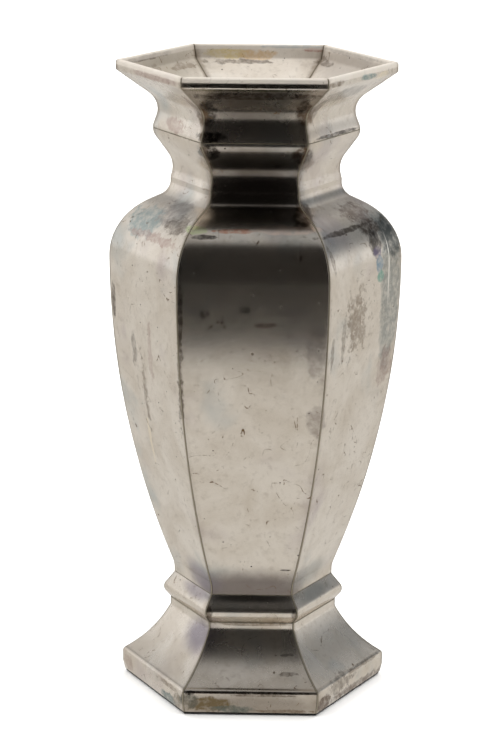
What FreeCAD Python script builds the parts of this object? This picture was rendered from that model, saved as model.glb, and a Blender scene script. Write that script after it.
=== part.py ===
"""Six-sided silver-plated baluster vase, soldered up from shaped sheet-metal panels.

Millimetres, +Z up.  The origin is the middle of the flat underside, the front panel
faces -Y and two of the six upright corners lie on the X axis.

The wall is four rings, one on top of the other: foot, collar, body and mouth.  Each ring
is six equal panels, mitred along their upright edges and joined there by solder.  Half
widths are measured from the vase's axis to the flat of a panel.
"""
import FreeCAD
import Part
import Sketcher
import math
import os

SIZES = {
    # the sheet and how it is joined
    "sheet": (1.0, "wall of every panel"),
    "solder_width": (0.5, "upright solder between two mitred edges"),
    "solder_height": (0.4, "level solder between two rings"),
    # mouth: lip, upright band, flare, upper neck, down to the crest of the bulge
    "mouth_height": (26.0, "crest of the bulge up to the lip"),
    "mouth_half_width": (46.8, "flat of the band"),
    "lip_thickness": (2.2, "turned-over lip"),
    "lip_round": (3.0, "hollow inside the lip where the flare turns upright"),
    "band_height": (3.5, "lip down to the round under the band"),
    "band_round": (1.0, "lower arris of the band"),
    "upper_neck_height": (7.1, "narrowest line of the flare above the bulge"),
    "upper_neck_inset": (1.6, "upper neck inside the bulge"),
    "upper_neck_round": (8.0, "cove of the flare"),
    "bulge_rise": (6.5, "bulge outside the lower neck"),
    "bulge_round": (5.8, "bulge"),
    # body: lower neck, ridge, shoulder, belly, waist
    "body_height": (179.9, "waist seam up to the crest of the bulge"),
    "body_half_width": (49.4, "widest line of the body"),
    "widest_drop": (50.1, "crest of the bulge down to the widest line"),
    "shoulder_round": (25.4, "shoulder"),
    "neck_half_width": (28.1, "narrowest line of the lower neck"),
    "neck_drop": (14.8, "crest of the bulge down to the lower neck"),
    "neck_round": (10.0, "cove of the lower neck"),
    "ridge_rise": (0.7, "ridge at the root of the neck, outside the neck"),
    "ridge_drop": (19.1, "crest of the bulge down to the ridge"),
    "ridge_round": (1.3, "ridge"),
    "shoulder_cove_rise": (0.65, "foot of the neck, outside the neck"),
    "shoulder_cove_drop": (20.1, "crest of the bulge down to the foot of the neck"),
    "shoulder_cove_round": (6.3, "cove between neck and shoulder"),
    "waist_half_width": (27.5, "bottom of the body"),
    "waist_height": (1.5, "upright edge at the bottom of the body"),
    "waist_round": (10.4, "cove above the waist seam"),
    # collar
    "collar_height": (10.7, "collar strip"),
    "bead_height": (4.3, "fullest line of the collar, above its lower edge"),
    "bead_rise": (3.7, "collar outside the waist"),
    "bead_round": (3.6, "collar"),
    # foot
    "foot_height": (31.0, "lower edge of the metal up to the collar"),
    "foot_half_width": (45.7, "fascia of the foot"),
    "foot_top_half_width": (28.8, "upright strip under the collar"),
    "foot_strip_height": (2.5, "upright strip under the collar"),
    "foot_cove_round": (47.0, "cove of the foot"),
    "fascia_height": (7.7, "fascia up to the round of its arris"),
    "arris_round": (2.0, "arris between cove and fascia"),
    "tuck_height": (3.6, "lower part of the fascia, which leans in"),
    "tuck_depth": (0.8, "how far it leans in"),
    # closing plates and what lies between them
    "floor_plate_thickness": (1.0, "plate that holds the water"),
    "floor_bead": (1.2, "solder bead under that plate"),
    "base_plate_thickness": (1.0, "plate that closes the foot"),
    "plate_clearance": (0.15, "round each plate"),
    "load_clearance": (0.1, "between the set filling and the foot"),
    "baize_thickness": (1.2, "felt under the foot"),
    "baize_margin": (0.3, "felt inside the edge of the metal"),
}

# Directions that the six panels face, anticlockwise seen from above.
FACINGS = {
    "front": -90,
    "front_right": -30,
    "back_right": 30,
    "back": 90,
    "back_left": 150,
    "front_left": 210,
}
SIDES = len(FACINGS)
HALF_SECTOR = 180 / SIDES

# Heights of the rings above the underside.
FOOT_BASE = "Size.baize_thickness"
FOOT_TOP = FOOT_BASE + " + Size.foot_height"
COLLAR_BASE = FOOT_TOP + " + Size.solder_height"
COLLAR_TOP = COLLAR_BASE + " + Size.collar_height"
BODY_BASE = COLLAR_TOP + " + Size.solder_height"
BODY_TOP = BODY_BASE + " + Size.body_height"
MOUTH_BASE = BODY_TOP + " + Size.solder_height"

# Half width of the bulge's crest, where mouth and body meet.
BULGE = "(Size.neck_half_width + Size.bulge_rise)"

# More than any piece reaches from the axis.
REACH = "2 * Size.body_half_width + Size.mouth_half_width"

CENTRE = FreeCAD.Vector(0, 0, 0)
UPWARDS = FreeCAD.Vector(0, 0, 1)
ACROSS_SEAM = FreeCAD.Vector(0, 1, 0)

document = FreeCAD.newDocument("panelled_vase")

# Every piece of the finished vase, in the order that they are made.
pieces = []


def make_size_sheet():
    """Put the driving sizes in a spreadsheet: one row each, with its name and a note."""
    sheet = document.addObject("Spreadsheet::Sheet", "Size")
    for row, (name, (value, note)) in enumerate(SIZES.items(), start=1):
        sheet.set(f"A{row}", name)
        sheet.set(f"B{row}", str(value))
        sheet.set(f"C{row}", note)
        sheet.setAlias(f"B{row}", name)
    document.recompute()
    return sheet


size_sheet = make_size_sheet()


def number(formula):
    """Value of a formula of sizes, as the sheet works it out."""
    return float(size_sheet.evalExpression(formula.replace("Size.", "")))


def flat(point):
    """Point of a sketch as a vector."""
    return FreeCAD.Vector(point[0], point[1], 0)


class Round:
    """One round of a wall's section, struck from one centre on both faces of the sheet.

    A full round bulges outwards and has its centre inside the wall.  A cove is hollow and
    has its centre outside.  What is named in `free`, of across, height and radius, isn't
    set: it follows from what the round runs into.
    """

    def __init__(self, half_width, height, radius, cove=False, free=()):
        self.cove = cove
        self.free = free
        self.radius = radius
        self.across = f"{half_width} + {radius}" if cove else f"{half_width} - {radius}"
        self.height = height

    def centre(self):
        return (number(self.across), number(self.height))

    def face_radius(self, inset):
        """Formula for the radius of the face that lies `inset` inside the outer face."""
        return f"{self.radius} + {inset}" if self.cove else f"{self.radius} - {inset}"

    def reach(self, inset):
        """Radius of that face, counted outwards from the axis."""
        radius = number(self.face_radius(inset))
        return -radius if self.cove else radius

    def point(self, inset, normal):
        """Point of that face where its outward normal has this direction."""
        across, height = self.centre()
        reach = self.reach(inset)
        return (across + reach * math.cos(normal), height + reach * math.sin(normal))


def shared_normal(lower, upper, inset):
    """Outward normal where one round of a face hands over to the next."""
    across = upper.centre()[0] - lower.centre()[0]
    height = upper.centre()[1] - lower.centre()[1]
    turn = (lower.reach(inset) - upper.reach(inset)) / math.hypot(across, height)
    return math.atan2(height, across) - math.acos(max(-1, min(1, turn)))


class Outline:
    """A sketch's outline, drawn in its solved place and bound to the sheet of sizes.

    In a wall's sketch x is the half width and y the height above the ring's lower edge.
    A loose end is a pair: a piece of the outline and which of its ends it is.
    """

    START, END, CENTRE = 1, 2, 3
    ORIGIN = (-1, 1)

    def __init__(self, sketch):
        self.sketch = sketch
        self.constraints = []
        self.formulas = {}

    def fix(self, kind, *where):
        """Note a constraint that has no formula."""
        self.constraints.append(Sketcher.Constraint(kind, *where))

    def bind(self, kind, *where):
        """Note a constraint whose size, the last item, is a formula."""
        self.formulas[len(self.constraints)] = where[-1]
        self.fix(kind, *where[:-1], number(where[-1]))

    def settle(self):
        """Give the sketch its constraints, and tie their sizes to the sheet."""
        self.sketch.addConstraint(self.constraints)
        for index, formula in self.formulas.items():
            self.sketch.setExpression(f"Constraints[{index}]", formula)

    def place(self, end, across, height):
        """Hold a point at a place given by two formulas."""
        self.bind("DistanceX", *self.ORIGIN, *end, across)
        self.bind("DistanceY", *self.ORIGIN, *end, height)

    def line(self, first, last):
        """Straight stretch between two points."""
        return self.sketch.addGeometry(Part.LineSegment(flat(first), flat(last)))

    def arc(self, centre, first, last):
        """Round stretch, anticlockwise from one point to another."""
        start = math.atan2(first[1] - centre[1], first[0] - centre[0])
        stop = math.atan2(last[1] - centre[1], last[0] - centre[0])
        circle = Part.Circle(flat(centre), UPWARDS, math.dist(centre, first))
        return self.sketch.addGeometry(Part.ArcOfCircle(circle, start, stop))

    def where(self, end):
        """Place of a loose end as it is drawn."""
        point = self.sketch.getPoint(*end)
        return (point.x, point.y)

    def bridge(self, first, last):
        """Join two loose ends with a straight stretch."""
        edge = self.line(self.where(first), self.where(last))
        self.fix("Coincident", edge, self.START, *first)
        self.fix("Coincident", edge, self.END, *last)
        return edge

    def run_on(self, end, target):
        """Carry a loose end on, smoothly, to a point; return the new piece."""
        edge = self.line(self.where(end), target)
        self.fix("Tangent", edge, self.START, *end)
        return edge

    def polygon(self, corners):
        """Closed run of straight stretches."""
        edges = []
        for corner, following in zip(corners, corners[1:] + corners[:1]):
            edges.append(self.line(corner, following))
        for edge, following in zip(edges, edges[1:] + edges[:1]):
            self.fix("Coincident", edge, self.END, following, self.START)
        return edges

    def draw_round(self, item, inset, lower_normal, upper_normal, partner=None):
        """Draw one round and return its lower and upper loose ends."""
        ends = [item.point(inset, lower_normal), item.point(inset, upper_normal)]
        if item.cove:
            ends.reverse()
        arc = self.arc(item.centre(), *ends)
        if partner is not None and not item.free:
            self.fix("Coincident", arc, self.CENTRE, partner, self.CENTRE)
        else:
            if "across" not in item.free:
                self.bind("DistanceX", *self.ORIGIN, arc, self.CENTRE, item.across)
            if "height" not in item.free:
                self.bind("DistanceY", *self.ORIGIN, arc, self.CENTRE, item.height)
        if "radius" not in item.free:
            self.bind("Radius", arc, item.face_radius(inset))
        if item.cove:
            return (arc, self.END), (arc, self.START)
        return (arc, self.START), (arc, self.END)

    def draw_face(self, rounds, inset, normals, partners=()):
        """Draw one face of a wall upwards, as rounds with straight stretches between.

        `normals` are the outward normals at the lower and the upper end.  A round whose
        radius is free touches its neighbours.  Returns the ends of each round and the
        straight stretches.
        """
        turns = [normals[0]]
        for lower, upper in zip(rounds, rounds[1:]):
            turns.append(shared_normal(lower, upper, inset))
        turns.append(normals[1])
        drawn = []
        for index, item in enumerate(rounds):
            partner = partners[index][0][0] if index < len(partners) else None
            drawn.append(self.draw_round(item, inset, turns[index], turns[index + 1], partner))
        edges = []
        for index in range(len(rounds) - 1):
            below = drawn[index][1]
            above = drawn[index + 1][0]
            if "radius" in rounds[index].free + rounds[index + 1].free:
                self.fix("Tangent", *below, *above)
                continue
            edge = self.run_on(below, self.where(above))
            self.fix("Tangent", edge, self.END, *above)
            edges.append(edge)
        return drawn, edges

    def cut_at_centre(self, end):
        """Stop a round at the height of its own centre."""
        self.fix("Horizontal", *end, end[0], self.CENTRE)


def draw_mouth(outline):
    """Mouth wall: crest of the bulge, upper neck, flare, upright band, rounded lip."""
    bulge = Round(BULGE, "0", "Size.bulge_round")
    neck = Round(f"({BULGE} - Size.upper_neck_inset)", "Size.upper_neck_height",
                 "Size.upper_neck_round", cove=True)
    band = Round("Size.mouth_half_width", "Size.mouth_height - Size.band_height",
                 "Size.band_round")
    outer, outer_edges = outline.draw_face([bulge, neck, band], "0", (0, 0))

    # Inside, the sheet keeps its thickness up the flare and then turns upright.
    flare = shared_normal(neck, band, "0")
    on_flare = band.point("Size.sheet", flare)
    hollow_half_width = "Size.mouth_half_width - Size.lip_thickness"
    radius = number("Size.lip_round")
    across = number(hollow_half_width) - radius
    height = on_flare[1] + ((on_flare[0] - across) * math.cos(flare) - radius) / math.sin(flare)
    hollow = Round(hollow_half_width, str(height), "Size.lip_round", free=("height",))
    inner, inner_edges = outline.draw_face([bulge, neck, hollow], "Size.sheet", (0, 0), outer[:2])
    outline.fix("Parallel", outer_edges[1], inner_edges[1])

    # The lip is one half round over both faces.
    lip = Round("Size.mouth_half_width", "Size.mouth_height - Size.lip_thickness / 2",
                "Size.lip_thickness / 2")
    lip_arc = outline.arc(lip.centre(), lip.point("0", 0), lip.point("0", math.pi))
    outline.place((lip_arc, outline.CENTRE), lip.across, lip.height)
    outline.bind("Radius", lip_arc, lip.radius)
    for face, end in ((outer, outline.START), (inner, outline.END)):
        edge = outline.run_on(face[2][1], outline.where((lip_arc, end)))
        outline.fix("Tangent", edge, outline.END, lip_arc, end)
    outline.cut_at_centre(outer[0][0])
    outline.cut_at_centre(inner[0][0])
    outline.bridge(outer[0][0], inner[0][0])


def draw_body(outline):
    """Body wall: waist, belly, shoulder, neck, up to the crest of the bulge."""
    top = "Size.body_height"
    widest = top + " - Size.widest_drop"
    waist = Round("Size.waist_half_width", "Size.waist_height", "Size.waist_round", cove=True)
    width_lost = "(Size.body_half_width - Size.waist_half_width)"
    height_lost = f"({widest} - Size.waist_height)"
    reach = f"(({width_lost} ^ 2 + {height_lost} ^ 2) / (2 * {width_lost}) - Size.waist_round)"
    belly = Round("Size.body_half_width", widest, reach, free=("across", "radius"))
    shoulder = Round("Size.body_half_width", widest, "Size.shoulder_round")
    cove = Round("(Size.neck_half_width + Size.shoulder_cove_rise)",
                 top + " - Size.shoulder_cove_drop", "Size.shoulder_cove_round", cove=True)
    ridge = Round("(Size.neck_half_width + Size.ridge_rise)", top + " - Size.ridge_drop",
                  "Size.ridge_round")
    neck = Round("Size.neck_half_width", top + " - Size.neck_drop", "Size.neck_round", cove=True)
    bulge = Round(BULGE, top, "Size.bulge_round")
    rounds = [waist, belly, shoulder, cove, ridge, neck, bulge]

    outer, _ = outline.draw_face(rounds, "0", (0, 0))
    inner, _ = outline.draw_face(rounds, "Size.sheet", (0, 0), outer)
    feet = []
    for face in (outer, inner):
        outline.cut_at_centre(face[-1][1])
        foot = outline.run_on(face[0][0], (outline.where(face[0][0])[0], 0))
        outline.fix("Vertical", foot)
        outline.fix("PointOnObject", foot, outline.END, -1)
        feet.append((foot, outline.END))
    outline.bridge(*feet)
    outline.bridge(outer[-1][1], inner[-1][1])


def draw_collar(outline):
    """Collar wall: a full moulding between two sloping faces."""
    bead = Round("(Size.waist_half_width + Size.bead_rise)", "Size.bead_height",
                 "Size.bead_round")
    bottom = ("Size.foot_top_half_width", "0")
    top = ("Size.waist_half_width", "Size.collar_height")
    slopes = (shared_normal(Round(*bottom, "0"), bead, "0"),
              shared_normal(bead, Round(*top, "0"), "0"))
    outer, _ = outline.draw_face([bead], "0", slopes)
    inner, _ = outline.draw_face([bead], "Size.sheet", slopes, outer)
    caps = []
    for index, (across, height) in enumerate((bottom, top)):
        target = (number(across), number(height))
        outer_edge = outline.run_on(outer[0][index], target)
        outline.place((outer_edge, outline.END), across, height)
        slope = slopes[index]
        level = target[0] - number("Size.sheet") / math.cos(slope)
        inner_edge = outline.run_on(inner[0][index], (level, target[1]))
        outline.fix("Parallel", outer_edge, inner_edge)
        caps.append(((outer_edge, outline.END), (inner_edge, outline.END)))
    for cap in caps:
        edge = outline.bridge(*cap)
        outline.fix("Horizontal", edge)


def draw_foot_face(outline, inset, base):
    """One face of the foot, upwards from the height `base`; returns its two ends."""
    arris = Round("Size.foot_half_width", "Size.fascia_height", "Size.arris_round")
    crease = (f"Size.foot_top_half_width - {inset}",
              "Size.foot_height - Size.foot_strip_height")

    # The cove leaves the crease at an angle and runs smoothly into the arris.
    corner = (number(crease[0]), number(crease[1]))
    middle = arris.centre()
    cove_radius = number(f"Size.foot_cove_round + {inset}")
    apart = math.dist(corner, middle)
    beyond = cove_radius + arris.reach(inset)
    along = (apart ** 2 + cove_radius ** 2 - beyond ** 2) / (2 * apart)
    aside = math.sqrt(cove_radius ** 2 - along ** 2)
    unit = ((middle[0] - corner[0]) / apart, (middle[1] - corner[1]) / apart)
    centre = (corner[0] + along * unit[0] - aside * unit[1],
              corner[1] + along * unit[1] + aside * unit[0])
    toward_cove = math.atan2(centre[1] - middle[1], centre[0] - middle[0])
    arris_ends = outline.draw_round(arris, inset, 0, toward_cove)
    cove = outline.arc(centre, corner, arris.point(inset, toward_cove))
    outline.bind("Radius", cove, f"Size.foot_cove_round + {inset}")
    outline.place((cove, outline.START), *crease)
    outline.fix("Tangent", cove, outline.END, *arris_ends[1])

    # Upright strip above, upright fascia and its tucked-in lower part below.
    strip = outline.line(corner, (corner[0], number("Size.foot_height")))
    outline.fix("Coincident", strip, outline.START, cove, outline.START)
    outline.fix("Vertical", strip)
    outline.bind("DistanceY", *outline.ORIGIN, strip, outline.END, "Size.foot_height")
    bend = (number(f"Size.foot_half_width - {inset}"), number("Size.tuck_height"))
    fascia = outline.run_on(arris_ends[0], bend)
    outline.fix("Vertical", fascia)
    outline.bind("DistanceY", *outline.ORIGIN, fascia, outline.END, "Size.tuck_height")
    leaned = f"Size.tuck_depth * (1 - {base} / Size.tuck_height)"
    edge = (f"Size.foot_half_width - {inset} - {leaned}", base)
    tuck = outline.line(bend, (number(edge[0]), number(edge[1])))
    outline.fix("Coincident", tuck, outline.START, fascia, outline.END)
    outline.place((tuck, outline.END), *edge)
    return (tuck, outline.END), (strip, outline.END)


def draw_foot(outline):
    """Foot wall: fascia, cove and the upright strip under the collar."""
    outer = draw_foot_face(outline, "0", "0")
    inner = draw_foot_face(outline, "Size.sheet", "0")
    for first, last in zip(outer, inner):
        outline.bridge(first, last)


def draw_load(outline):
    """Filling of the foot, from its base plate up to the collar."""
    ends = draw_foot_face(outline, "(Size.sheet + Size.load_clearance)",
                          "Size.base_plate_thickness")
    on_axis = []
    for end in ends:
        level = outline.line(outline.where(end), (0, outline.where(end)[1]))
        outline.fix("Coincident", level, outline.START, *end)
        outline.fix("Horizontal", level)
        outline.fix("PointOnObject", level, outline.END, -2)
        on_axis.append((level, outline.END))
    outline.bridge(*on_axis)


def draw_mitres(outline, gap):
    """All that lies beyond a panel's two mitred edges, seen from above, facing +X."""
    size = number(REACH)
    start = number(gap)
    rise = (size - start) * math.tan(math.radians(HALF_SECTOR))
    mitre, far, left, back, right, other_far, other_mitre = outline.polygon([
        (start, 0), (size, rise), (size, size), (-size, size),
        (-size, -size), (size, -size), (size, -rise)])
    outline.fix("Angle", mitre, math.radians(HALF_SECTOR))
    for edge in (far, back):
        outline.fix("Vertical", edge)
    for edge in (left, right):
        outline.fix("Horizontal", edge)
    outline.place((left, outline.START), REACH, REACH)
    outline.bind("DistanceX", back, outline.START, *outline.ORIGIN, REACH)
    outline.fix("Symmetric", far, outline.START, other_mitre, outline.START, -1)
    outline.fix("Symmetric", left, outline.START, other_far, outline.START, -1)
    if start:
        outline.fix("PointOnObject", mitre, outline.START, -1)
        outline.bind("DistanceX", *outline.ORIGIN, mitre, outline.START, gap)
    else:
        outline.fix("Coincident", mitre, outline.START, *outline.ORIGIN)


def draw_beside_seam(outline):
    """What lies beside one half of a seam that runs along +X, seen from above."""
    size = number(REACH)
    half = number("Size.solder_width / 2")
    for near, far in ((0, size), (-half, -size)):
        edges = outline.polygon([(-size, near), (size, near), (size, far), (-size, far)])
        for index, edge in enumerate(edges):
            outline.fix("Vertical" if index % 2 else "Horizontal", edge)
        outline.bind("DistanceX", edges[0], outline.START, *outline.ORIGIN, REACH)
        outline.bind("DistanceX", *outline.ORIGIN, edges[0], outline.END, REACH)
        if near:
            outline.bind("DistanceY", edges[0], outline.START, *outline.ORIGIN,
                         "Size.solder_width / 2")
            outline.bind("DistanceY", edges[2], outline.START, *outline.ORIGIN, REACH)
        else:
            outline.fix("PointOnObject", edges[0], outline.END, -1)
            outline.bind("DistanceY", *outline.ORIGIN, edges[2], outline.START, REACH)


def new_body(name, angle, base):
    """Empty body, turned about the vase's axis and lifted to a height."""
    body = document.addObject("PartDesign::Body", name)
    body.Label = name
    body.Placement.Rotation = FreeCAD.Rotation(UPWARDS, angle)
    body.setExpression("Placement.Base.z", base)
    return body


def origin_feature(body, role):
    """One of the planes or axes of a body's own origin."""
    return next(item for item in body.Origin.OriginFeatures if item.Role == role)


def new_sketch(body, name, plane, draw, turn=0):
    """Sketch on an origin plane, turned about its own upright axis, then drawn."""
    sketch = body.newObject("Sketcher::SketchObject", f"{body.Name}_{name}")
    sketch.AttachmentSupport = (origin_feature(body, plane), [""])
    sketch.MapMode = "FlatFace"
    turned = FreeCAD.Rotation(FreeCAD.Vector(0, 1, 0), turn)
    sketch.AttachmentOffset = FreeCAD.Placement(FreeCAD.Vector(0, 0, 0), turned)
    outline = Outline(sketch)
    draw(outline)
    outline.settle()
    return sketch


def add_section(body, draw, turn=0):
    """Wall's section, carried the same way to both sides."""
    pad = body.newObject("PartDesign::Pad", f"{body.Name}_length")
    pad.Profile = new_sketch(body, "section", "XZ_Plane", draw, turn)
    pad.SideType = "Symmetric"
    pad.setExpression("Length", REACH)


def add_cut(body, name, draw):
    """Cut right through, up and down, of what the sketch seen from above encloses."""
    pocket = body.newObject("PartDesign::Pocket", f"{body.Name}_{name}_cut")
    pocket.Profile = new_sketch(body, name, "XY_Plane", draw)
    pocket.Type = "ThroughAll"
    pocket.SideType = "Symmetric"


def make_panel(name, angle, base, draw):
    """One panel: its section carried sideways, then mitred at both edges."""
    panel = new_body(name, angle, base)
    add_section(panel, draw)
    add_cut(panel, "mitre", lambda outline: draw_mitres(outline, "Size.solder_width"))
    pieces.append(panel)


def turned_copies(shape):
    """Copies of a shape round the axis, one for each side of the vase."""
    copies = []
    for index in range(SIDES):
        copy = shape.copy()
        copy.rotate(CENTRE, UPWARDS, index * 2 * HALF_SECTOR)
        copies.append(copy)
    return copies


def add_piece(name, shape, base):
    """Piece put together from the shapes of other objects, lifted to a height."""
    piece = document.addObject("Part::Feature", name)
    piece.Label = name
    piece.Shape = shape
    piece.setExpression("Placement.Base.z", base)
    pieces.append(piece)


def make_seam(ring, base, draw):
    """The solder in a ring's six upright seams, flush with both faces of the panels.

    Each strip is two mirrored halves, one running on from each of the panels it joins.
    """
    half = new_body(f"{ring}_seam_half", 0, "0")
    add_section(half, draw, turn=-HALF_SECTOR)
    add_cut(half, "half", draw_beside_seam)
    document.recompute()
    strip = half.Shape.fuse(half.Shape.mirror(CENTRE, ACROSS_SEAM)).removeSplitter()
    strips = turned_copies(strip.Solids[0])
    add_piece(f"{ring}_seam_solder", Part.Compound(strips), base)


def make_load():
    """Filling of the foot: one sector of it, repeated round the axis."""
    sector = new_body("foot_load_sector", FACINGS["front"], "0")
    add_section(sector, draw_load)
    add_cut(sector, "sector", lambda outline: draw_mitres(outline, "0"))
    document.recompute()
    sectors = turned_copies(sector.Shape)
    load = sectors[0].multiFuse(sectors[1:]).removeSplitter()
    add_piece("foot_load", load.Solids[0], FOOT_BASE)


def make_prism(name, half_width, thickness, base):
    """Six-sided prism with two corners on the X axis."""
    prism = document.addObject("Part::Prism", name)
    prism.Label = name
    prism.Polygon = SIDES
    prism.setExpression("Circumradius", f"({half_width}) / cos({HALF_SECTOR})")
    prism.setExpression("Height", thickness)
    prism.setExpression("Placement.Base.z", base)
    return prism


def make_plate(name, half_width, thickness, base):
    """Six-sided plate that is a piece of its own."""
    pieces.append(make_prism(name, half_width, thickness, base))


def make_hexagon_ring(name, half_width, breadth, thickness, base):
    """Flat six-sided ring."""
    ring = document.addObject("Part::Cut", name)
    ring.Label = name
    pieces.append(ring)
    ring.Base = make_prism(f"{name}_outside", half_width, thickness, base)
    ring.Tool = make_prism(f"{name}_inside", f"{half_width} - ({breadth})", thickness, base)


def make_closures():
    """Everything that lies level: solder between rings, plates, filling and felt."""
    make_hexagon_ring("bulge_solder", BULGE, "Size.sheet",
                      "Size.solder_height", BODY_TOP)
    make_hexagon_ring("waist_solder", "Size.waist_half_width", "Size.sheet",
                      "Size.solder_height", COLLAR_TOP)
    make_hexagon_ring("collar_solder", "Size.foot_top_half_width", "Size.sheet",
                      "Size.solder_height", FOOT_TOP)
    inside_waist = "Size.waist_half_width - Size.sheet"
    make_hexagon_ring("floor_solder", inside_waist, "Size.floor_bead", "Size.floor_bead",
                      BODY_BASE)
    make_plate("floor_plate", f"{inside_waist} - Size.plate_clearance",
               "Size.floor_plate_thickness", f"{BODY_BASE} + Size.floor_bead")
    metal_edge = "Size.foot_half_width - Size.tuck_depth"
    make_plate("base_plate", f"{metal_edge} - Size.sheet - Size.plate_clearance",
               "Size.base_plate_thickness", FOOT_BASE)
    make_plate("baize_pad", f"{metal_edge} - Size.baize_margin", "Size.baize_thickness", "0")
    make_load()


RINGS = (
    ("mouth", "panel", MOUTH_BASE, draw_mouth),
    ("body", "panel", BODY_BASE, draw_body),
    ("collar", "strip", COLLAR_BASE, draw_collar),
    ("foot", "panel", FOOT_BASE, draw_foot),
)

for ring, piece, base, draw in RINGS:
    for facing, angle in FACINGS.items():
        make_panel(f"{ring}_{piece}_{facing}", angle, base, draw)
    make_seam(ring, base, draw)
make_closures()
document.recompute()


def check_document():
    """Stop at anything that failed to solve, to build or to come out sound."""
    for item in document.Objects:
        if "Invalid" in item.State or "Error" in item.State:
            raise RuntimeError(f"{item.Name} failed: {item.State}")
        if item.isDerivedFrom("Sketcher::SketchObject") and not item.FullyConstrained:
            raise RuntimeError(f"{item.Name} is not fully constrained")
    for piece in pieces:
        if piece.Shape.isNull() or not piece.Shape.isValid():
            raise RuntimeError(f"{piece.Label} has no valid shape")


def export_pieces():
    """Write one file for each piece."""
    os.makedirs("parts", exist_ok=True)
    for piece in pieces:
        piece.Shape.exportStep(f"parts/{piece.Label}.step")
        print(f"{piece.Label}: {len(piece.Shape.Solids)} solids, {piece.Shape.Volume:.1f} mm3")


check_document()
export_pieces()
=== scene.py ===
"""Looks for the six-sided silver-plated baluster vase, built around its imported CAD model.

The CAD nodes fix where everything is.  The pieces that show are made again here with
finer rounds, worn arrises, slightly uneven sheet and lumpy solder, and every piece gets
its own metal, solder or cloth.  Lengths in the settings are metres, as Blender keeps
them; MM turns millimetres into metres.
"""

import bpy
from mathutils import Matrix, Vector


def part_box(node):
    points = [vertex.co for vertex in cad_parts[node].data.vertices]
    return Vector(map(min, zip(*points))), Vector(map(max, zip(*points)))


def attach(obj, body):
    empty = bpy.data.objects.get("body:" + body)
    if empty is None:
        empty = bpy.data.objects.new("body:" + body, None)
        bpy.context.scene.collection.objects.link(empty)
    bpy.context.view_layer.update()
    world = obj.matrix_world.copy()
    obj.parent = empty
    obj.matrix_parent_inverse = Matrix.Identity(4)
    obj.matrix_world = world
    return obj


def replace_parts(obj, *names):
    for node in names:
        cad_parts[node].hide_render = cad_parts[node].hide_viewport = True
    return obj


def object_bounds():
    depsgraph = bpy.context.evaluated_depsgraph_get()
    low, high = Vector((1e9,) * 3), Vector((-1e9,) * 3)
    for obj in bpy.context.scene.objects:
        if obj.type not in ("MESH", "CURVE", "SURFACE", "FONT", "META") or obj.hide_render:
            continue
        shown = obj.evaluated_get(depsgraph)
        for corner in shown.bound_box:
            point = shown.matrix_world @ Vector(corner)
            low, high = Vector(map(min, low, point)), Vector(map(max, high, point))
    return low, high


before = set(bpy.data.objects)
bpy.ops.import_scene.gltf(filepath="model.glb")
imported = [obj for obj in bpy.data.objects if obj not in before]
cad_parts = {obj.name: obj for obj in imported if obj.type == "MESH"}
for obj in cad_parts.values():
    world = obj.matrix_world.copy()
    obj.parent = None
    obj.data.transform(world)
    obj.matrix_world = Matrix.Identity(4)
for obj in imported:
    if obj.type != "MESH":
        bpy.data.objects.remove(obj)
BOX_AT_LOAD = [list(corner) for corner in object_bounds()]

import math

import bpy
from bpy.props import FloatProperty, FloatVectorProperty, PointerProperty
from mathutils import Matrix, Vector, noise

bl_info = {
    "name": "Panelled silver-plated vase",
    "version": (1, 0, 0),
    "blender": (4, 5, 0),
    "location": "3D Viewport > Sidebar > Vase",
    "description": "Builds the looks of a six-sided silver-plated vase around its CAD model",
    "category": "Object",
}

MM = 0.001

# Directions that the six panels face, in degrees, anticlockwise seen from above.
FACINGS = {
    "front": -90,
    "front_right": -30,
    "back_right": 30,
    "back": 90,
    "back_left": 150,
    "front_left": 210,
}
HALF_SECTOR = math.radians(30)

# Edges sharper than this stay sharp when a mesh is smoothed.
SMOOTH_TO = math.radians(38)

# Most that a wall's section turns between two of its points, and how near to each other
# two points count as one.
MOST_TURN = math.radians(7)
SAME_PLACE = 1e-7

# Turns of the normal at the columns that round off a panel's worn edge.
ARRIS_TURNS = [math.radians(angle) for angle in (22.5, 45, 67.5, 90)]

# Turns of the normal round a bead's section, from straight down to straight up.
BEAD_TURNS = [math.radians(-90 + 22.5 * step) for step in range(9)]

# Dents in the sheet and lumps in the solder, coarse ones and fine ones, per metre.  The
# offset keeps the two sizes of dent apart, and the seed makes the six panels differ.
DENTS = (26, 70)
FINE_DENT_OFFSET = Vector((3.1, 7.7, 1.9))
PANEL_SEED = 0.13
UPRIGHT_LUMPS = (160, 430)
LEVEL_LUMPS = (190, 520)
RAGGED_CLOTH = 420

# Level beads: how far each bulges out, how far its lumps do, and its steps on each side.
BEAD_ROUND = 0.3 * MM
BEAD_LUMPS = {
    "bulge_solder": 0.30 * MM,
    "waist_solder": 0.12 * MM,
    "collar_solder": 0.12 * MM,
}
BEAD_STEPS = 60

# Cloth: how deep its cut edge is ragged, and its steps on each side.
CLOTH_RAGGED = 0.25 * MM
CLOTH_STEPS = 90


# ---------------------------------------------------------------- settings

def length(name, millimetres, description):
    """A size that a user may change, in metres, with its default given in millimetres."""
    return FloatProperty(name=name, description=description, default=millimetres * MM,
                         min=0, unit="LENGTH", precision=4)


def colour(name, code, description):
    """A colour that a user may change, with its default given as an sRGB hex code."""
    return FloatVectorProperty(name=name, description=description, default=linear(code),
                               size=4, min=0, max=1, subtype="COLOR")


def linear(code):
    """Linear colour, with full alpha, of an sRGB hex code."""
    channels = []
    for start in (0, 2, 4):
        value = int(code[start:start + 2], 16) / 255
        channels.append(value / 12.92 if value <= 0.04045 else ((value + 0.055) / 1.055) ** 2.4)
    return (*channels, 1.0)


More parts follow.
